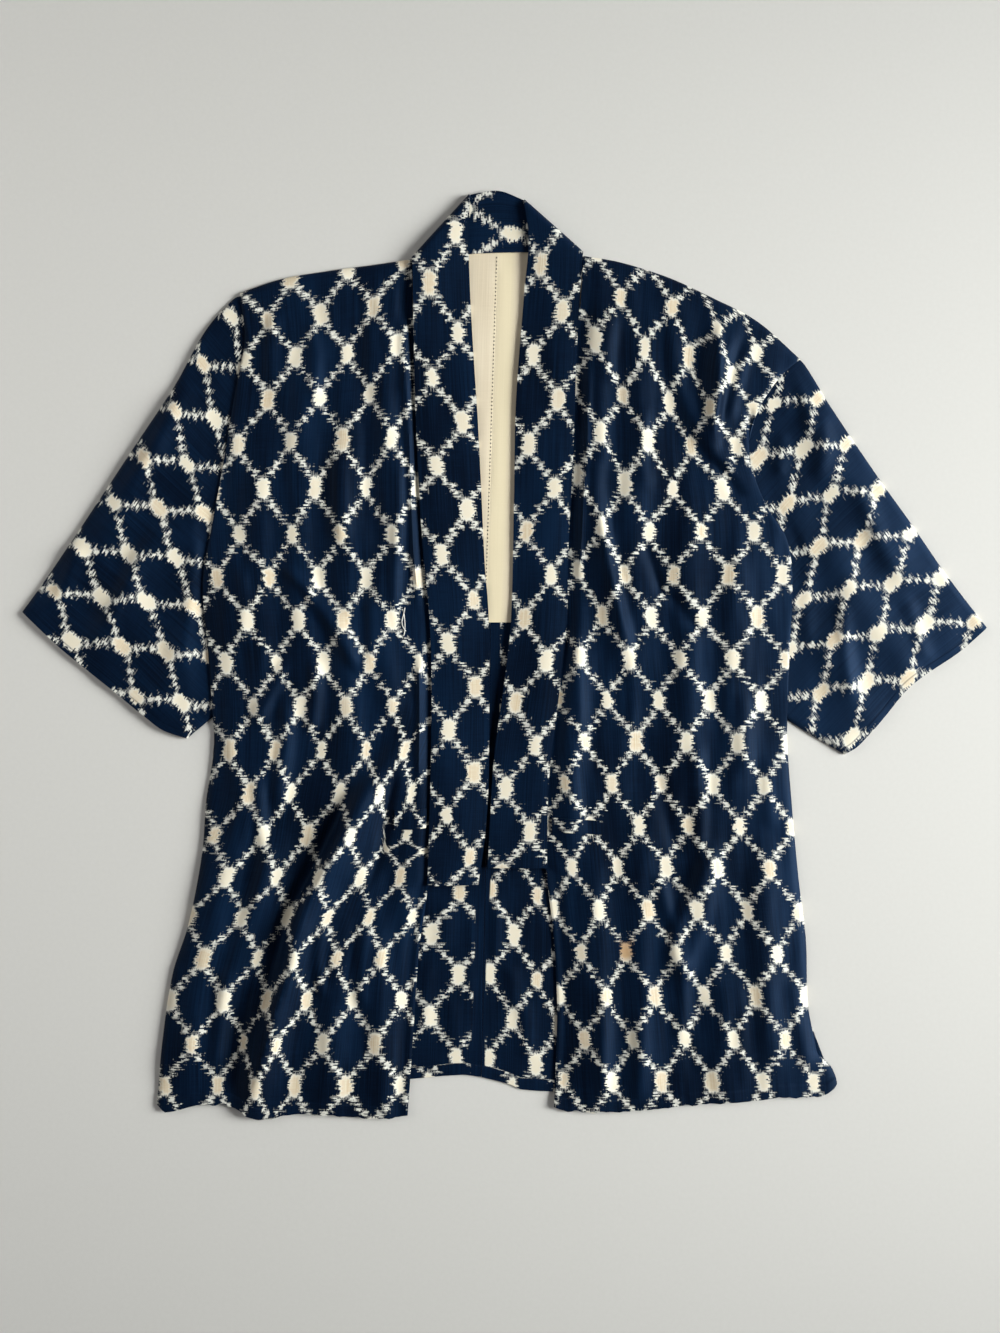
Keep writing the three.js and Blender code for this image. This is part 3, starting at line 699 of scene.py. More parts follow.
# Creases: a height, the widths on the left and right of its line (above and below, on a level one),
# and places on the line. A height below 0 is a trough.
creases = {
    "right": [
        (2.6, 3, 3.5, (-93, 300), (-90, 200), (-85, 100), (-81, 30)),
        (2.2, 3, 3.5, (-81, 10), (-80, -60), (-81, -130)),
        (-3.2, 9, 7, (-240, -300), (-252, -350), (-262, -420)),
        (4.0, 5, 12, (-128, -106), (-145, -150), (-165, -195), (-192, -240), (-200, -290), (-213, -330),
         (-230, -390), (-240, -436)),
        (-3.6, 9, 5, (-140, -110), (-158, -155), (-180, -200), (-206, -250), (-214, -300), (-228, -350),
         (-246, -425)),
        (2.6, 6, 9, (-158, 200), (-157, 150), (-155, 100)),
        (2.4, 6, 5, (-99, 205), (-100, 140), (-103, 80), (-104, 20)),
        (2.2, 7, 8, (-128, 325), (-127, 285), (-129, 250)),
        (3.4, 6, 9, (-218, 92), (-192, 68), (-166, 32), (-146, 0), (-132, -26)),
        (2.6, 5, 7, (-180, 0), (-180, -40), (-184, -80)),
        (3.0, 7, 8, (-208, -30), (-207, -80), (-214, -125), (-217, -160)),
        (2.8, 7, 8, (-236, -100), (-231, -150), (-228, -200), (-240, -262)),
        (-2.8, 6, 4, (-101, -104), (-112, -150), (-116, -180), (-128, -222)),
        (2.4, 6, 6, (-131, -252), (-136, -300), (-134, -340)),
        (2.6, 6, 6, (-171, -250), (-176, -290), (-172, -330)),
        (2.8, 7, 7, (-262, -290), (-268, -340), (-276, -400)),
        (2.4, 5, 6, (-92, -300), (-90, -360), (-96, -434)),
        (2.2, 6, 6, (-205, 0), (-222, -40), (-240, -70)),
        (2.0, 7, 8, (-215, 330), (-222, 290), (-220, 250)),
        (2.0, 7, 7, (-186, 320), (-178, 280), (-182, 230)),
        (1.8, 5, 6, (-92, 330), (-95, 290), (-93, 240)),
        (2.2, 6, 7, (-128, 60), (-126, 20), (-128, -20)),
        (2.2, 6, 7, (-250, 90), (-246, 50), (-250, 0)),
    ],
    "left": [
        (2.4, 3, 3, (80, 300), (78, 200), (72, 100), (70, 40)),
        (4.2, 9, 3.2, (206, 322), (203, 300), (203, 270), (202, 240), (199, 212), (206, 190)),
        (3.4, 5, 7, (236, 306), (224, 270), (217, 240), (212, 216)),
        (3.0, 7, 9, (160, 322), (161, 280), (171, 240), (187, 208), (208, 180), (230, 150)),
        (-2.4, 6, 6, (194, 190), (212, 168), (224, 146)),
        (-3.6, 5, 4, (232, 238), (235, 215), (238, 190), (236, 172)),
        (2.0, 7, 8, (102, 330), (98, 290), (102, 250)),
        (2.4, 6, 7, (84, 190), (86, 160), (84, 130)),
        (-2.8, 6, 4, (134, 110), (142, 80), (152, 52)),
        (-2.6, 7, 5, (156, 62), (170, 42), (184, 18)),
        (3.0, 5, 6, (86, 154), (93, 120), (101, 72), (108, 44), (118, -2)),
        (2.2, 5, 5, (66, 30), (70, -20), (72, -90)),
        (2.0, 5, 5, (118, 0), (122, -40), (120, -80)),
        (-2.4, 7, 7, (148, -110), (154, -150), (164, -196)),
        (3.0, 7, 9, (180, -80), (182, -120), (186, -160), (182, -196)),
        (3.6, 6, 9, (196, -178), (181, -220), (166, -252), (161, -274), (163, -290), (172, -312)),
        (2.6, 6, 6, (146, -206), (154, -240), (160, -262)),
        (2.8, 6, 7, (168, -285), (169, -320), (166, -370)),
        (2.8, 6, 5, (94, -300), (94, -360), (95, -430)),
        (2.4, 7, 8, (226, -30), (228, -70), (226, -120)),
        (2.2, 7, 7, (252, -90), (250, -130), (254, -170)),
        (2.6, 7, 8, (222, -300), (226, -350), (228, -422)),
        (2.2, 6, 7, (272, -300), (278, -350), (290, -400)),
        (1.8, 6, 7, (126, -330), (128, -370), (126, -430)),
        (2.0, 6, 7, (132, 240), (130, 200), (134, 150)),
    ],
    "sleeveRight": [
        (2.6, 8, 9, (-300, 262), (-330, 200), (-360, 150)),
        (2.4, 8, 9, (-330, 120), (-356, 70), (-380, 20)),
        (2.2, 7, 7, (-288, 120), (-292, 70), (-300, 20)),
        (2.2, 8, 8, (-400, 110), (-420, 60), (-436, 40)),
    ],
    "sleeveLeft": [
        (2.8, 4, 6, (262, 286), (276, 262), (286, 232), (290, 200)),
        (2.4, 4, 5, (250, 280), (262, 256), (268, 226)),
        (2.8, 7, 8, (300, 236), (302, 200), (296, 160)),
        (2.6, 6, 8, (262, 216), (262, 190), (256, 166)),
        (2.2, 8, 9, (330, 170), (350, 120), (372, 70)),
        (2.4, 7, 8, (286, 96), (282, 50), (288, 0)),
        (2.4, 7, 8, (320, 60), (322, 10), (330, -50)),
        (2.0, 8, 8, (380, 60), (392, 20), (400, -10)),
    ],
    "back": [
        (1.6, 4, 5, (-9, -226), (-8, -255), (-9, -296)),
        (1.8, 7, 8, (5, -292), (8, -315), (7, -340)),
        (2.0, 7, 8, (17, -322), (21, -350), (22, -388)),
        (1.2, 5, 6, (-72, -285), (-74, -320), (-76, -370)),
        (1.6, 8, 9, (-52, -325), (-48, -350), (-46, -378)),
        (1.4, 8, 8, (-58, -230), (-56, -255), (-60, -285)),
        (0.8, 3, 3, (-31, -226), (-32, -300), (-36, -390)),
    ],
}
creaseDepth = {"right": 1.6, "left": 1.15, "sleeveRight": 1.3, "sleeveLeft": 1.3, "back": 1.1}

# Both fade in at their start and out at their end, in shares of their length.
foldFades = ((-0.1, 0.2), (1.1, 0.85))
creaseFades = ((0, 0.22), (1, 0.78))


def rise(span, value):
    share = np.clip((value - span[0]) / (span[1] - span[0]), 0, 1)
    return share * share * (3 - 2 * share)


def lerp(a, b, share):
    return a + (b - a) * share


def rounded(distance, reach):
    return np.sqrt(1 - (1 - np.clip(distance / reach, 0, 1)) ** 2)


# A smooth line through points: the value of one coordinate at a given other, key 0 for x or 1 for y.
def lineThrough(points, key):
    ordered = sorted(points, key=lambda point: point[key])
    at = np.array([point[key] for point in ordered], float)
    value = np.array([point[1 - key] for point in ordered], float)
    order = np.arange(len(at))
    before = np.maximum(order - 1, 0)
    after = np.minimum(order + 1, len(at) - 1)
    slope = (value[after] - value[before]) / (at[after] - at[before])

    def valueAt(where):
        k = np.clip(np.searchsorted(at, where), 1, len(at) - 1)
        length = at[k] - at[k - 1]
        share = np.clip((where - at[k - 1]) / length, 0, 1)
        square = share ** 2
        cube = share ** 3
        return ((2 * cube - 3 * square + 1) * value[k - 1] + (3 * square - 2 * cube) * value[k]
                + (cube - 2 * square + share) * length * slope[k - 1] + (cube - square) * length * slope[k])

    return valueAt


def straightLine(points):
    at = np.array([point[1] for point in points], float)
    value = np.array([point[0] for point in points], float)
    return lambda y: np.interp(y, at, value)


# The same line as places by share. shift moves a place sideways in x.
def run(points, key, line=None, shift=None):
    line = line or lineThrough(points, key)

    def placeAt(share):
        where = lerp(points[0][key], points[-1][key], np.asarray(share, float))
        if key == 0:
            return np.stack([where, line(where)], -1)
        beside = shift(where) if shift else 0
        return np.stack([line(where) + beside, where], -1)

    return placeAt


# A flat sheet between four lines, at every pair of an along share and an across share.
def stretched(bottom, top, start, end, across, along):
    a = np.asarray(across, float)[None, :, None]
    b = np.asarray(along, float)[:, None, None]
    low = lerp(bottom(0.0), bottom(1.0), a)
    high = lerp(top(0.0), top(1.0), a)
    sides = lerp(start(along)[:, None, :], end(along)[:, None, :], a)
    return lerp(bottom(across)[None], top(across)[None], b) + sides - lerp(low, high, b)


def foldsAt(rows, x, y):
    total = np.zeros_like(x)
    for x0, y0, x1, y1, bow, width, lean, height in rows:
        wayX, wayY = x1 - x0, y1 - y0
        length = math.hypot(wayX, wayY)
        share = ((x - x0) * wayX + (y - y0) * wayY) / length ** 2
        inside = np.clip(share, 0, 1)
        aside = ((x - x0) * wayY - (y - y0) * wayX) / length - bow * 4 * inside * (1 - inside)
        halfWidth = width * (1 + lean * np.sign(aside))
        fade = rise(foldFades[0], share) * rise(foldFades[1], share)
        total += height * fade * np.exp(-((aside / halfWidth) ** 2))
    return total


def creasesAt(name, x, y):
    total = np.zeros_like(x)
    for height, low, high, *points in creases[name]:
        first, last = np.array(points[0], float), np.array(points[-1], float)
        way = last - first
        key = int(abs(way[1]) > abs(way[0]))
        along, beside = (x, y) if key == 0 else (y, x)
        share = (along - first[key]) / way[key]
        steep = abs(way[key]) / math.hypot(*way)
        aside = (beside - lineThrough(points, key)(along)) * steep
        width = np.where(aside < 0, low, high)
        fade = rise(creaseFades[0], share) * rise(creaseFades[1], share)
        total += creaseDepth[name] * height * fade * np.exp(-((aside / width) ** 2))
    return total


# Shares from 0 to 1 in even steps of about the given size, with close ones beside a rounded end.
def shares(step, length, roundStart=False, roundEnd=False, close=(0.4, 1.2, 2.6, 4.6, 7)):
    even = np.linspace(0, 1, max(2, round(length / step)) + 1)
    near = np.array(close) / length
    clear = near[-1] + 0.5 * step / length
    kept = even[(even == 0) | (even == 1)
                | ((even > (clear if roundStart else 0)) & (even < (1 - clear if roundEnd else 1)))]
    extra = np.concatenate([near if roundStart else [], 1 - near if roundEnd else []])
    return np.unique(np.concatenate([kept, extra]))


# A small unevenness of the cloth, in lengths along the warp and widths across it.
def uneven(x, y, seed, across=24, along=90):
    flat = [noise.noise(Vector((a / across, b / along, seed))) for a, b in zip(x.ravel(), y.ravel())]
    return np.array(flat).reshape(x.shape)


print("stage: pieces of cloth")


smoothBelow = 50  # degrees between two faces


# A piece of cloth on a grid of points: its rows and columns of places, and its pattern's coordinates.
# marks are more numbers of its points that the material reads.
def clothPiece(name, node, grid, weave, thickness, material, kept=None, closed=False, marks=None):
    rows, columns = grid.shape[:2]
    cells = []
    for i in range(rows - 1):
        for j in range(columns if closed else columns - 1):
            if kept is None or kept(i, j):
                following = (j + 1) % columns
                cells.append((i * columns + j, i * columns + following,
                              (i + 1) * columns + following, (i + 1) * columns + j))
    used = sorted({corner for cell in cells for corner in cell})
    number = {corner: k for k, corner in enumerate(used)}
    points = grid.reshape(-1, 3) * mm
    mesh = bpy.data.meshes.new(name)
    mesh.from_pydata([points[corner] for corner in used], [],
                     [[number[corner] for corner in cell] for cell in cells])
    layer = mesh.uv_layers.new(name="weave")
    places = weave.reshape(-1, 2)[used]
    indices = np.empty(len(mesh.loops), int)
    mesh.loops.foreach_get("vertex_index", indices)
    layer.data.foreach_set("uv", places[indices].ravel())
    for mark, values in (marks or {}).items():
        attribute = mesh.attributes.new(mark, "FLOAT", "POINT")
        attribute.data.foreach_set("value", values.ravel()[used])
    piece = linked(name, mesh)
    selectOnly(piece)
    solid = piece.modifiers.new("cloth", "SOLIDIFY")
    solid.thickness = thickness * mm
    solid.offset = 0
    solid.use_even_offset = False
    bpy.ops.object.modifier_apply(modifier=solid.name)
    mesh.materials.append(material)
    bpy.ops.object.shade_smooth_by_angle(angle=math.radians(smoothBelow))
    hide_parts(node)
    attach(piece, "root")
    return piece


# Lengths in a pattern field are counted in a unit, and a little give evens the field out.
fieldLook = {"unit": 100, "give": 0.02}


# The pattern on a piece: u counts repeats across the cloth and v along it. A smooth field goes
# through the middles of the blocks, each row by its v, its first u and the places of its blocks.
def patternField(rows):
    known = [(u0 + k, v, x, y) for v, u0, *places in rows for k, (x, y) in enumerate(places)]
    table = np.array(known, float)
    places = table[:, 2:] / fieldLook["unit"]
    count = len(places)

    def kernel(a, b):
        distance = np.linalg.norm(a[:, None] - b[None], axis=-1)
        return distance ** 2 * np.log(np.maximum(distance, 1e-6))

    flat = np.hstack([np.ones((count, 1)), places])
    bending = kernel(places, places) + fieldLook["give"] * np.eye(count)
    system = np.block([[bending, flat], [flat.T, np.zeros((3, 3))]])
    weights = np.linalg.solve(system, np.vstack([table[:, :2], np.zeros((3, 2))]))

    def at(x, y):
        asked = np.stack([x.ravel(), y.ravel()], -1) / fieldLook["unit"]
        bent = kernel(asked, places) @ weights[:count]
        even = np.hstack([np.ones((len(asked), 1)), asked]) @ weights[count:]
        return (bent + even).reshape(*x.shape, 2)

    return at


# The pattern on an even piece, by the place of its block 0, 0 and the ways of the next ones.
def patternPlane(origin, nextAcross, nextAlong):
    ways = np.linalg.inv(np.array([nextAcross, nextAlong], float))

    def at(x, y):
        return np.stack([x - origin[0], y - origin[1]], -1) @ ways

    return at


blocks = {
    "right": [
        (0, -3, (-253, 348), (-203, 358), (-149, 365), (-96, 373), (-45, 378)),
        (-1, -3, (-246, 280), (-198, 282), (-149, 285), (-102, 294), (-51, 298)),
        (-2, -3, (-253, 199), (-203, 202), (-153, 204), (-107, 206), (-57, 207)),
        (-3, -3, (-251, 114), (-201, 114), (-156, 114), (-107, 114), (-56, 114)),
        (-4, -3, (-244, 33), (-195, 33), (-152, 33), (-107, 33), (-57, 33)),
        (-5, -3, (-237, -49), (-193, -49), (-150, -49), (-106, -49), (-61, -49)),
        (-6, -3, (-241, -131), (-204, -131), (-156, -131), (-117, -131), (-90, -131)),
        (-7, -3, (-263, -210), (-215, -210), (-175, -210), (-136, -210), (-99, -210)),
        (-8, -3, (-285, -287), (-234, -287), (-198, -287), (-159, -287), (-117, -287)),
        (-9, -3, (-296, -368), (-247, -368), (-216, -368), (-172, -368), (-122, -368)),
        (-10, -3, (-299, -449), (-251, -449), (-223, -449), (-179, -449), (-126, -449)),
    ],
    "left": [
        (0, 1, (110, 339), (159, 330), (202, 308), (238, 285)),
        (-0.5, 0.5, (85, 299), (133, 290), (174, 285)),
        (-1, 1, (112, 245), (157, 238), (193, 233), (236, 235)),
        (-1.5, 0.5, (91, 211), (136, 204), (176, 198)),
        (-2, 0, (70, 171), (114, 162), (160, 157), (207, 157)),
        (-2.5, 1.5, (137, 117), (186, 117), (237, 117)),
        (-3, 1, (114, 76), (160, 76), (212, 76), (264, 76)),
        (-5, 0, (76, -82), (125, -82)),
        (-5.5, -0.5, (57, -122), (102, -122), (149, -122)),
        (-6.5, -0.5, (64, -201), (107, -201), (153, -201)),
        (-7, 0, (89, -241), (136, -241)),
        (-7.5, -0.5, (73, -282), (115, -282), (162, -282)),
        (-8.5, -0.5, (76, -364), (121, -364), (171, -364), (217, -364), (266, -364)),
    ],
}
backPattern = {
    "right": patternPlane((-42, -226), (-51.7, 0), (2, 78)),
    "left": patternPlane((-13, -223), (44.5, -6), (0.8, 80)),
}
# The edge of the pattern beside the centre back seam, on each half.
plainFrom = {
    "right": [(-33, -375), (-29.5, -300), (-28, -215), (-24, -60), (-18, 380)],
    "left": [(-18, -375), (-17, -300), (-12.5, -215), (-4, -60), (0, 380)],
}
sleeveBlocks = {
    "right": [
        (0, 0, (-286, 277), (-311, 231), (-341, 187), (-370, 144), (-400, 102), (-426, 61)),
        (0.5, 0.5, (-276, 224), (-301, 181), (-328, 139), (-356, 96), (-381, 54), (-411, 13)),
        (1, 2, (-284, 134), (-312, 92), (-340, 51), (-362, 9)),
        (1.5, 3.5, (-295, 45), (-321, 3), (-349, -39)),
    ],
    "left": [
        (0, 0, (297, 244), (324, 200), (354, 156), (385, 115), (415, 74), (446, 32)),
        (0.5, 0.5, (284, 196), (309, 153), (339, 109), (368, 69), (398, 29)),
        (1, 1, (268, 143), (298, 103), (326, 62), (354, 21), (382, -22)),
        (1.5, 2.5, (284, 52), (312, 14), (343, -26)),
        (2, 4, (300, -35), (329, -78)),
    ],
}


# The side edge of the back, from the hem to the shoulder. It is further in at the armhole, where the
# sleeve takes over.
def backSide(cut):
    top, under = cut["armhole"]
    edgeAt = lineThrough(cut["edge"], 1)

    def inFrom(y, inset):
        return (float(edgeAt(y)) - cut["side"] * inset, y)

    hemEnd = cut["backHem"][-1][1]
    foldEnd = cut["shoulder"][-1][1]
    corner = under - armholeClear - armholeTuck
    return [
        *(inFrom(lerp(hemEnd, corner, k / sideSteps), sideInset) for k in range(sideSteps + 1)),
        inFrom(under - armholeClear, armholeTuck),
        *(inFrom(lerp(under, top, k / armholeSteps), armholeTuck) for k in range(armholeSteps + 1)),
        inFrom(top + armholeClear, armholeTuck + armholeClear),
        inFrom(foldEnd, 0),
    ]


# The body: steps of the grid, hem band and small unevenness.
bodyLook = {
    "length": 800,  # of the front and the back
    "width": 210,  # of the front
    "step": 2.6,
    "backStep": 7,
    "hemBand": 11,
    "hemStep": 0.5,  # the hem band's edge rises over this distance, both ways
    "hemRise": 0.7,
    "hemRows": (0.08, 0.94, 1, 1.08),  # rows of the grid at both edges of the band, in shares of it
    "backHemRows": (0.5, 0.97, 1.03),
    "hemShift": -0.2,  # how far the pattern of the turned hem is off, in repeats
    "uneven": 1.5,
    "fine": 0.7,
    "fineReach": (9, 34),  # of one small unevenness, across and along
    "evenHem": (0, 14),  # the unevenness begins over this distance from the hem
    "pucker": {"rise": 0.9, "more": 0.3, "reach": (22, 5), "across": 7, "along": 30, "side": (0, 12)},
    "hemWave": {"size": 2.2, "reach": (26, 0), "across": 8, "corner": 8},  # the hem is sewn by hand
    # Along the free edges below the band.
    "edgeRoll": {"rise": 1.0, "at": 2.4, "width": 1.4, "below": (4, 24)},
    "neckColumns": 28,
    "fineBack": 0.25,  # the share of the back, from the hem, that shows between the fronts
    "fineStep": 4,
}


# Troughs of the front reach down to the back that it lies on, and no further.
def overBack(lift):
    lowest = 2 * cloth + seamGap - cloth / 2
    soft = 1
    return (lift + lowest + np.sqrt((lift - lowest) ** 2 + soft)) / 2


def frontGrid(side):
    cut = cuts[side]
    bandEnd = band[f"{side}Seam"][0][1]
    neckY = cut["shoulder"][0][1]

    def tuckAt(y):
        return neckTuck * rise(spans["intoBand"], y - bandEnd) * rise(spans["outOfBand"], neckY - y)

    hem = run(cut["hem"], 0)
    shoulder = run(cut["shoulder"], 0)
    seam = run(cut["seam"], 1, shift=lambda y: -cut["side"] * tuckAt(y))
    edge = run(cut["edge"], 1)
    width = bodyLook["width"]
    across = shares(bodyLook["step"], width, roundStart=True, roundEnd=True)
    hemEnd = bodyLook["hemBand"] / bodyLook["length"]
    hemRows = [hemEnd * share for share in bodyLook["hemRows"]]
    rows = shares(bodyLook["step"], bodyLook["length"], roundEnd=True)
    along = np.unique(np.concatenate([rows, hemRows]))
    plan = stretched(hem, shoulder, seam, edge, across, along)
    wave = bodyLook["hemWave"]
    fromHem = plan[..., 1] - hem(across)[None, :, 1]
    place = across * width
    waved = uneven(plan[..., 0], 0 * fromHem, 31, across=wave["across"]) * rise((0, wave["corner"]), place)
    waved = wave["size"] * waved * rise(wave["reach"], fromHem)
    plan[..., 1] += waved * rise((width, width - wave["corner"]), place)
    x, y = plan[..., 0], plan[..., 1]
    fromSeam = np.linalg.norm(plan - seam(along)[:, None], axis=-1)
    fromSide = np.linalg.norm(plan - edge(along)[:, None], axis=-1)
    fromFold = lineThrough(cut["shoulder"], 0)(x) - y
    small = bodyLook["uneven"] * uneven(x, y, cut["side"])
    small = small + bodyLook["fine"] * uneven(x, y, 3 + cut["side"], *bodyLook["fineReach"])
    small = small + creasesAt(side, x, y)
    lift = lerp(frontHemLift, frontLift, rise((0, hemFade), fromHem)) + foldsAt(folds[side], x, y)
    lift = overBack(lift + small * rise(bodyLook["evenHem"], fromHem))
    edgeLift = lerp(frontHemLift, frontEdgeLift, rise(spans["toBandEnd"], y - bandEnd))
    byBand = lerp(edgeLift, lift, rise((neckTuck, neckTuck + tuckFade), fromSeam))
    bySeam = lerp(byBand, lift, rise(spans["toNeck"], neckY - y))
    sideLift = lerp(floorLayer, overSleeveLift, rise(spans["underarm"], cut["armhole"][1] - y))
    bySide = lerp(sideLift, bySeam, rounded(fromSide, sideRound))
    height = lerp(floorLayer, bySide, rounded(fromFold, sideRound))
    edgeSpan = (bodyLook["hemBand"] + bodyLook["hemStep"], bodyLook["hemBand"] - bodyLook["hemStep"])
    height = height + bodyLook["hemRise"] * rise(edgeSpan, fromHem)
    pucker = bodyLook["pucker"]
    puckered = uneven(x, y, 21, across=pucker["across"], along=pucker["along"]) + pucker["more"]
    puckered = pucker["rise"] * np.maximum(puckered, 0) * rise(pucker["reach"], fromHem)
    height = height + puckered * rise(pucker["side"], fromSide)
    roll = bodyLook["edgeRoll"]
    rolled = np.exp(-(((fromSeam - roll["at"]) / roll["width"]) ** 2))
    rollStart, rollFull = roll["below"]
    height = height + roll["rise"] * rolled * rise((bandEnd - rollStart, bandEnd - rollFull), y)
    return np.dstack([x, y, height]), across


def backGrid(side, across):
    cut = cuts[side]
    centreX = centreBack + cut["side"] * seamGap / 2
    shoulder = run(cut["shoulder"], 0)
    neckShare = (cut["shoulder"][0][0] - centreBack) / (cut["shoulder"][-1][0] - centreBack)
    neckMiddle = np.array([centreX, neckLine])

    def backTop(share):
        share = np.asarray(share, float)
        beside = lerp(neckMiddle, shoulder(0.0), np.clip(share / neckShare, 0, 1)[..., None])
        out = shoulder(np.clip((share - neckShare) / (1 - neckShare), 0, 1))
        return np.where((share < neckShare)[..., None], beside, out)

    backHem = run([(centreX + backSlant, cut["backHem"][0][1]), *cut["backHem"][1:]], 0)

    def centre(share):
        return lerp(backHem(0.0), neckMiddle, np.asarray(share, float)[..., None])

    corners = backSide(cut)
    low, high = corners[0][1], corners[-1][1]
    edge = run([(0, low), (0, high)], 1, line=straightLine(corners))
    exact = [(y - low) / (high - low) for _, y in corners]
    hemEnd = bodyLook["hemBand"] / bodyLook["length"]
    hemRows = [hemEnd * share for share in bodyLook["backHemRows"]]
    shown = bodyLook["fineBack"]
    fineRows = np.linspace(0, shown, round(shown * bodyLook["length"] / bodyLook["fineStep"]))
    rows = shares(bodyLook["backStep"], bodyLook["length"])
    along = np.unique(np.concatenate([rows, fineRows, exact, hemRows]))[::-1]
    columns = bodyLook["neckColumns"]
    wide = np.concatenate([neckShare * np.arange(columns) / columns, lerp(neckShare, 1, across)])
    plan = stretched(backHem, backTop, centre, edge, wide, along)
    turned = np.broadcast_to((along < hemEnd)[:, None], plan.shape[:2])
    bumps = creasesAt("back", plan[..., 0], plan[..., 1])
    return np.dstack([plan, floorLayer + bodyLook["hemRise"] * turned + bumps]), turned


# Below the right tuck the pattern is off, by as much cloth as the tuck takes up.
belowTuck = {"shift": 0.45, "edge": -162.5, "full": -175.8, "end": -194.8, "reach": (-118, -108)}


def underTuck(x, y):
    strip = rise((belowTuck["end"], belowTuck["full"]), y) * (y < belowTuck["edge"])
    return strip * rise(belowTuck["reach"], x)


def addBody(side):
    front, across = frontGrid(side)
    back, turned = backGrid(side, across)
    columns = bodyLook["neckColumns"]
    wideFront = np.concatenate([np.repeat(front[:-1, :1], columns, axis=1), front[:-1]], axis=1)
    grid = np.concatenate([wideFront, back])
    frontRows = len(wideFront)
    field = patternField(blocks[side])
    frontWeave = field(wideFront[..., 0], wideFront[..., 1])
    if side == "right":
        frontWeave[..., 1] += belowTuck["shift"] * underTuck(wideFront[..., 0], wideFront[..., 1])
    backWeave = backPattern[side](back[..., 0], back[..., 1])
    backWeave[..., 1] += bodyLook["hemShift"] * turned
    weave = np.concatenate([frontWeave, backWeave])
    patternEdge = straightLine(plainFrom[side])(back[..., 1])
    backPlain = cuts[side]["side"] * (patternEdge - back[..., 0])
    plain = np.concatenate([np.full(wideFront.shape[:2], -1.0), backPlain])
    body = clothPiece(f"body_{side}_cloth", f"body_{side}", grid, weave, cloth, kasuri,
                      kept=lambda i, j: i >= frontRows or j >= columns, marks={"plain": plain})
    line = back[np.argmax(turned[:, 0])] + (0, 0, cloth / 2 + stitches["hem"]["raised"])
    addStitches(f"hem_stitches_{side}", stitches["hem"], line, "navy")
    return front, field


# Points on the upper side of the front, raised by some millimetres.
def onFront(front, points, raised):
    places = front[..., :2].reshape(-1, 2)
    heights = front[..., 2].ravel()
    nearest = [np.argmin(np.linalg.norm(places - point, axis=1)) for point in points]
    return np.array([(*point, heights[near] + cloth / 2 + raised) for point, near in zip(points, nearest)])


def addTuck(side, front, field):
    cut = cuts[side]
    y = front[:, 0, 1]
    rows = np.where((y >= cut["tuck"]["bottom"]) & (y <= cut["tuck"]["top"]))[0]
    fromSeam = np.abs(front[rows[0], :, 0] - front[rows[0], 0, 0])
    reach = bodyLook["width"] * cut["tuck"]["reach"]
    columns = np.where((fromSeam > neckTuck + tuckInset) & (fromSeam < reach))[0]
    part = front[rows[0]:rows[-1] + 1, columns[0]:columns[-1] + 1].copy()
    weave = field(part[..., 0], part[..., 1])
    weave[..., 1] += cut["tuck"]["stripShift"]
    part[..., 2] += cloth + seamGap
    tuck = clothPiece(f"tuck_{side}_cloth", f"tuck_{side}", part, weave, cloth, kasuri)
    line = onFront(front, cut["tuck"]["stitched"], stitches["tuck"]["thick"] / 2)
    addStitches(f"tuck_stitches_{side}", stitches["tuck"], line, cut["tuck"]["thread"])


# The sleeves.
sleeveLook = {"step": 2.8, "length": 220, "armhole": 250, "uneven": 1.4}


def addSleeve(side):
    cut = cuts[side]
    top, under = cut["armhole"]
    corners = backSide(cut)
    backAt = straightLine(corners)

    def armholeX(y):
        return backAt(y) + cut["side"] * armholeGap

    armhole = run([(0, top), (0, under)], 1, line=armholeX)
    topFold = run([(float(armholeX(top)), top), *cut["sleeveTop"]], 0)
    underFold = run([(float(armholeX(under)), under), *cut["sleeveUnder"]], 0)
    along = shares(sleeveLook["step"], sleeveLook["length"], roundEnd=True)
    exact = np.arange(armholeSteps + 1) / armholeSteps
    columns = shares(sleeveLook["step"], sleeveLook["armhole"], roundStart=True, roundEnd=True)
    upper = np.unique(np.concatenate([columns, exact]))
    cuff = run(cut["cuff"], 0)
    plan = stretched(armhole, cuff, topFold, underFold, upper, along)
    x, y = plan[..., 0], plan[..., 1]
    outside = np.linalg.norm(plan - armhole(upper)[None], axis=-1) - armholeTuck
    name = f"sleeve{side.title()}"
    bumps = foldsAt(folds[name], x, y) + creasesAt(name, x, y)
    bumps = bumps + sleeveLook["uneven"] * uneven(x, y, 5 + cut["side"])
    lift = lerp(sleeveEndLift, sleeveLift + bumps, rise(spans["sleeveEnd"], outside))
    fromFold = np.minimum(np.linalg.norm(plan - topFold(along)[:, None], axis=-1),
                          np.linalg.norm(plan - underFold(along)[:, None], axis=-1))
    height = lerp(floorLayer, lift, rounded(fromFold, foldRound))
    above = np.dstack([x, y, height])
    lower = upper[1:-1][::-1]
    below = stretched(armhole, cuff, topFold, underFold, lower, along)
    below = np.dstack([below, np.full(below.shape[:2], floorLayer)])
    grid = np.concatenate([above, below], axis=1)
    weave = patternField(sleeveBlocks[side])(grid[..., 0], grid[..., 1])
    fromCuff = np.linalg.norm(grid[..., :2] - cuff(np.concatenate([upper, lower]))[None], axis=-1)
    sleeve = clothPiece(f"sleeve_{side}_cloth", f"sleeve_{side}", grid, weave, cloth, kasuri,
                        closed=True, marks={"fromCuff": fromCuff})


# The collar band.
collarLook = {
    "length": 600,  # of each end, from the neck
    "width": 57,
    "step": 3,
    "columns": 19,
    "edgeColumns": (0.01, 0.03, 0.97, 0.99),
    "neckRows": 46,
    "uneven": 0.8,
    "patternAcross": 43,  # from the seam to the middle of a row of blocks
}
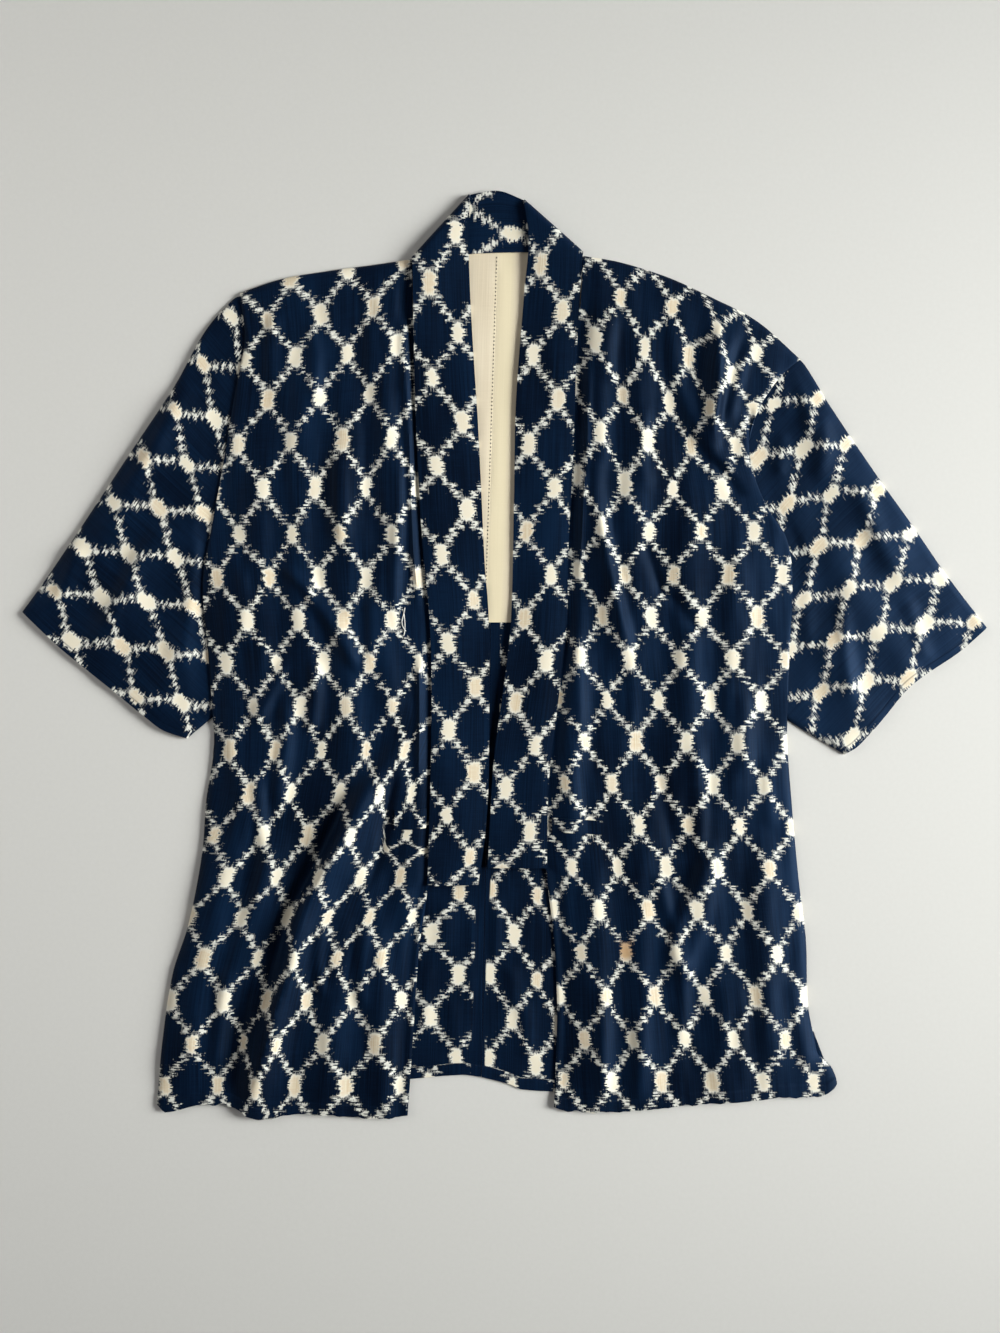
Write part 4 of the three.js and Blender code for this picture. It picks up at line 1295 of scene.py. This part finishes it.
# The pattern along the band: a place, by its y on the fronts and its x in the neck, and its count.
bandPattern = {
    "right": [(-233, -0.5), (-191.6, 0), (-111.5, 1), (-30.3, 2), (52, 3), (138, 4), (220.6, 5), (305, 6),
              (352, 6.5), (400, 7), (448, 7.5)],
    "neck": [(-87, 6.53), (7.4, 7.5), (74, 8.19)],
    "left": [(-208, 15), (-126.4, 14), (-45, 13), (34.5, 12), (117, 11), (199.5, 10), (284.6, 9),
             (324.9, 8.5), (369.5, 8), (414, 7.5), (458, 7)],
}


def addCollar():
    columns = np.linspace(0, 1, collarLook["columns"])
    across = np.unique(np.concatenate([columns, collarLook["edgeColumns"]]))

    def neckLift(share):
        return lerp(neckSeamLift, neckFreeLift, share)

    def frontPart(name):
        seamPoints, freePoints = band[f"{name}Seam"], band[f"{name}Free"]
        along = shares(collarLook["step"], collarLook["length"], roundEnd=True)
        seam = run(seamPoints, 1)
        free = run(freePoints, 1)
        plan = lerp(seam(along)[:, None], free(along)[:, None], across[None, :, None])
        turn = lerp(seam(1.0), free(1.0), across[:, None])
        fromTurn = turn[None, :, 1] - plan[..., 1]
        flat = lerp(bandSeamLift, bandFreeLift, rise(bandSlope, across))
        rising = bandTurnRise * rise(spans["bandTurn"], fromTurn)
        lift = flat + bandCrown * np.sin(math.pi * across) + rising
        lift = lift + collarLook["uneven"] * uneven(plan[..., 0], plan[..., 1], 9)
        # The band turns on a slant of about 45 degrees, so a place is nearer to the turn than fromTurn.
        height = lerp(neckLift(across), lift, rounded(fromTurn * math.sqrt(0.5), bandRound))
        return np.dstack([plan, height])

    along = np.linspace(0, 1, collarLook["neckRows"])[1:-1]
    seam = run(band["neckSeam"], 0)
    free = run(band["neckFree"], 0)
    plan = lerp(seam(along)[:, None], free(along)[:, None], across[None, :, None])
    neck = np.dstack([plan, np.broadcast_to(neckLift(across), plan.shape[:2])])
    parts = {"right": frontPart("right"), "neck": neck, "left": frontPart("left")[::-1]}
    grid = np.concatenate(list(parts.values()))
    counts = []
    for name, part in parts.items():
        places, count = zip(*bandPattern[name])
        counts.append(np.interp(part[..., int(name != "neck")], places, count))
    v = np.concatenate(counts)
    u = (across * collarLook["width"] - collarLook["patternAcross"]) / repeat["across"]
    weave = np.dstack([np.broadcast_to(u, v.shape), v])
    collar = clothPiece("collar_cloth", "collar", grid, weave, bandCloth, kasuri)


# The lining of the upper back.
def addLining(side):
    cut = cuts[side]
    shoulderAt = lineThrough(cut["shoulder"], 0)
    neckEnd = abs(cut["shoulder"][0][0] - centreBack) - lining["step"]
    across = np.linspace(liningLook["seam"], lining["reach"], lining["columns"])
    x = centreBack + cut["side"] * across
    reach = np.where(across < neckEnd, lining["neck"], shoulderAt(x) - lining["shoulderGap"])
    share = np.linspace(0, 1, lining["rows"])[:, None]
    y = lerp(lining["bottom"], reach[None], share)
    x = x + seamShift(y) * rise((lining["reach"], lining["slantFull"]), across)
    loose = rise(lining["looseSide"], across)[None] * rise(lining["looseLow"], y - lining["bottom"])
    loose = loose * rise(lining["looseHigh"], y) * rise(lining["looseSeam"], across)[None]
    height = liningLift + liningLook["uneven"] * loose * (1 + uneven(x, y, 12 + cut["side"]))
    grid = np.dstack([x, y, height])
    weave = np.dstack([np.broadcast_to(cut["side"] * across, y.shape), y])
    piece = clothPiece(f"lining_{side}_cloth", f"lining_{side}", grid, weave, liningCloth, cotton)


# The centre seam of the lining slants a little towards the right front at its lower end.
def seamShift(y):
    return lining["slant"] * (lining["neck"] - y) / (lining["neck"] - lining["bottom"])


# Sewing. A stitch lies on the cloth: its length and the distance to the next one.
stitches = {
    "lining": {"length": 1.8, "pitch": 3.6, "thick": 0.9},
    "hem": {"length": 2.2, "pitch": 5.5, "thick": 0.7, "raised": 0.1},
    "tuck": {"length": 3.4, "pitch": 5.2, "thick": 1.0},
}


# Copies of one small stitch along a line of points, as one piece.
def addStitches(name, look, line, colour):
    bpy.ops.object.select_all(action="DESELECT")
    bpy.ops.mesh.primitive_uv_sphere_add(segments=6, ring_count=4, radius=0.5)
    model = bpy.context.object
    shape = np.array([vertex.co for vertex in model.data.vertices])
    faces = [list(face.vertices) for face in model.data.polygons]
    bpy.data.objects.remove(model, do_unlink=True)
    line = np.array(line, float)
    travelled = np.concatenate([[0], np.cumsum(np.linalg.norm(np.diff(line, axis=0), axis=1))])
    places = np.arange(look["pitch"], travelled[-1] - look["pitch"] / 2, look["pitch"])
    points, cells = [], []
    for place in places:
        start, end = (
            np.array([np.interp(place + half, travelled, line[:, k]) for k in range(3)])
            for half in (-look["length"] / 2, look["length"] / 2)
        )
        way = (end - start) / np.linalg.norm(end - start)
        beside = np.cross((0, 0, 1), way)
        beside = beside / np.linalg.norm(beside)
        above = np.cross(way, beside)
        size = np.array([look["length"], look["thick"], look["thick"]])
        cells += [[corner + len(points) for corner in face] for face in faces]
        points += list((start + end) / 2 + (shape * size) @ np.array([way, beside, above]))
    mesh = bpy.data.meshes.new(name)
    mesh.from_pydata(np.array(points) * mm, [], cells)
    mesh.materials.append(threads[colour])
    mesh.polygons.foreach_set("use_smooth", [True] * len(mesh.polygons))
    piece = linked(name, mesh)
    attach(piece, "root")


# The line of stitches is a little right of the lining's seam.
seamLook = {"fromNeck": 3, "fromBottom": 2, "points": 60, "beside": -1.2, "raised": 0.25}


def addLiningSeam():
    top = lining["neck"] - seamLook["fromNeck"]
    y = np.linspace(top, lining["bottom"] + seamLook["fromBottom"], seamLook["points"])
    x = centreBack + seamLook["beside"] + seamShift(y)
    height = np.full(y.shape, liningLift + liningCloth / 2 + seamLook["raised"])
    addStitches("lining_seam", stitches["lining"], np.stack([x, y, height], -1), "navy")


# A loose end of white thread on the right front.
looseThread = {
    "strands": (
        ((-94.5, 44.7), (-95.5, 38), (-98.3, 32.3), (-96.4, 25.7), (-93.4, 22.6)),
        ((-95.2, 39), (-94.8, 32.3), (-93.4, 24.7), (-95.6, 18)),
    ),
    "thick": 0.9,
}


def addLooseThread(front):
    data = bpy.data.curves.new("loose_thread", "CURVE")
    data.dimensions = "3D"
    data.bevel_depth = looseThread["thick"] / 2 * mm
    data.bevel_resolution = 2
    data.use_fill_caps = True
    for strand in looseThread["strands"]:
        spline = data.splines.new("NURBS")
        spline.points.add(len(strand) - 1)
        spline.use_endpoint_u = True
        for point, place in zip(spline.points, onFront(front, strand, looseThread["thick"] / 2)):
            point.co = (*(place * mm), 1)
    thread = linked("loose_thread", data)
    selectOnly(thread)
    bpy.ops.object.convert(target="MESH")
    thread.data.materials.append(threads["white"])
    thread.data.polygons.foreach_set("use_smooth", [True] * len(thread.data.polygons))
    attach(thread, "root")


for side in ("right", "left"):
    front, field = addBody(side)
    addTuck(side, front, field)
    addSleeve(side)
    addLining(side)
    if side == "right":
        addLooseThread(front)
addCollar()
addLiningSeam()
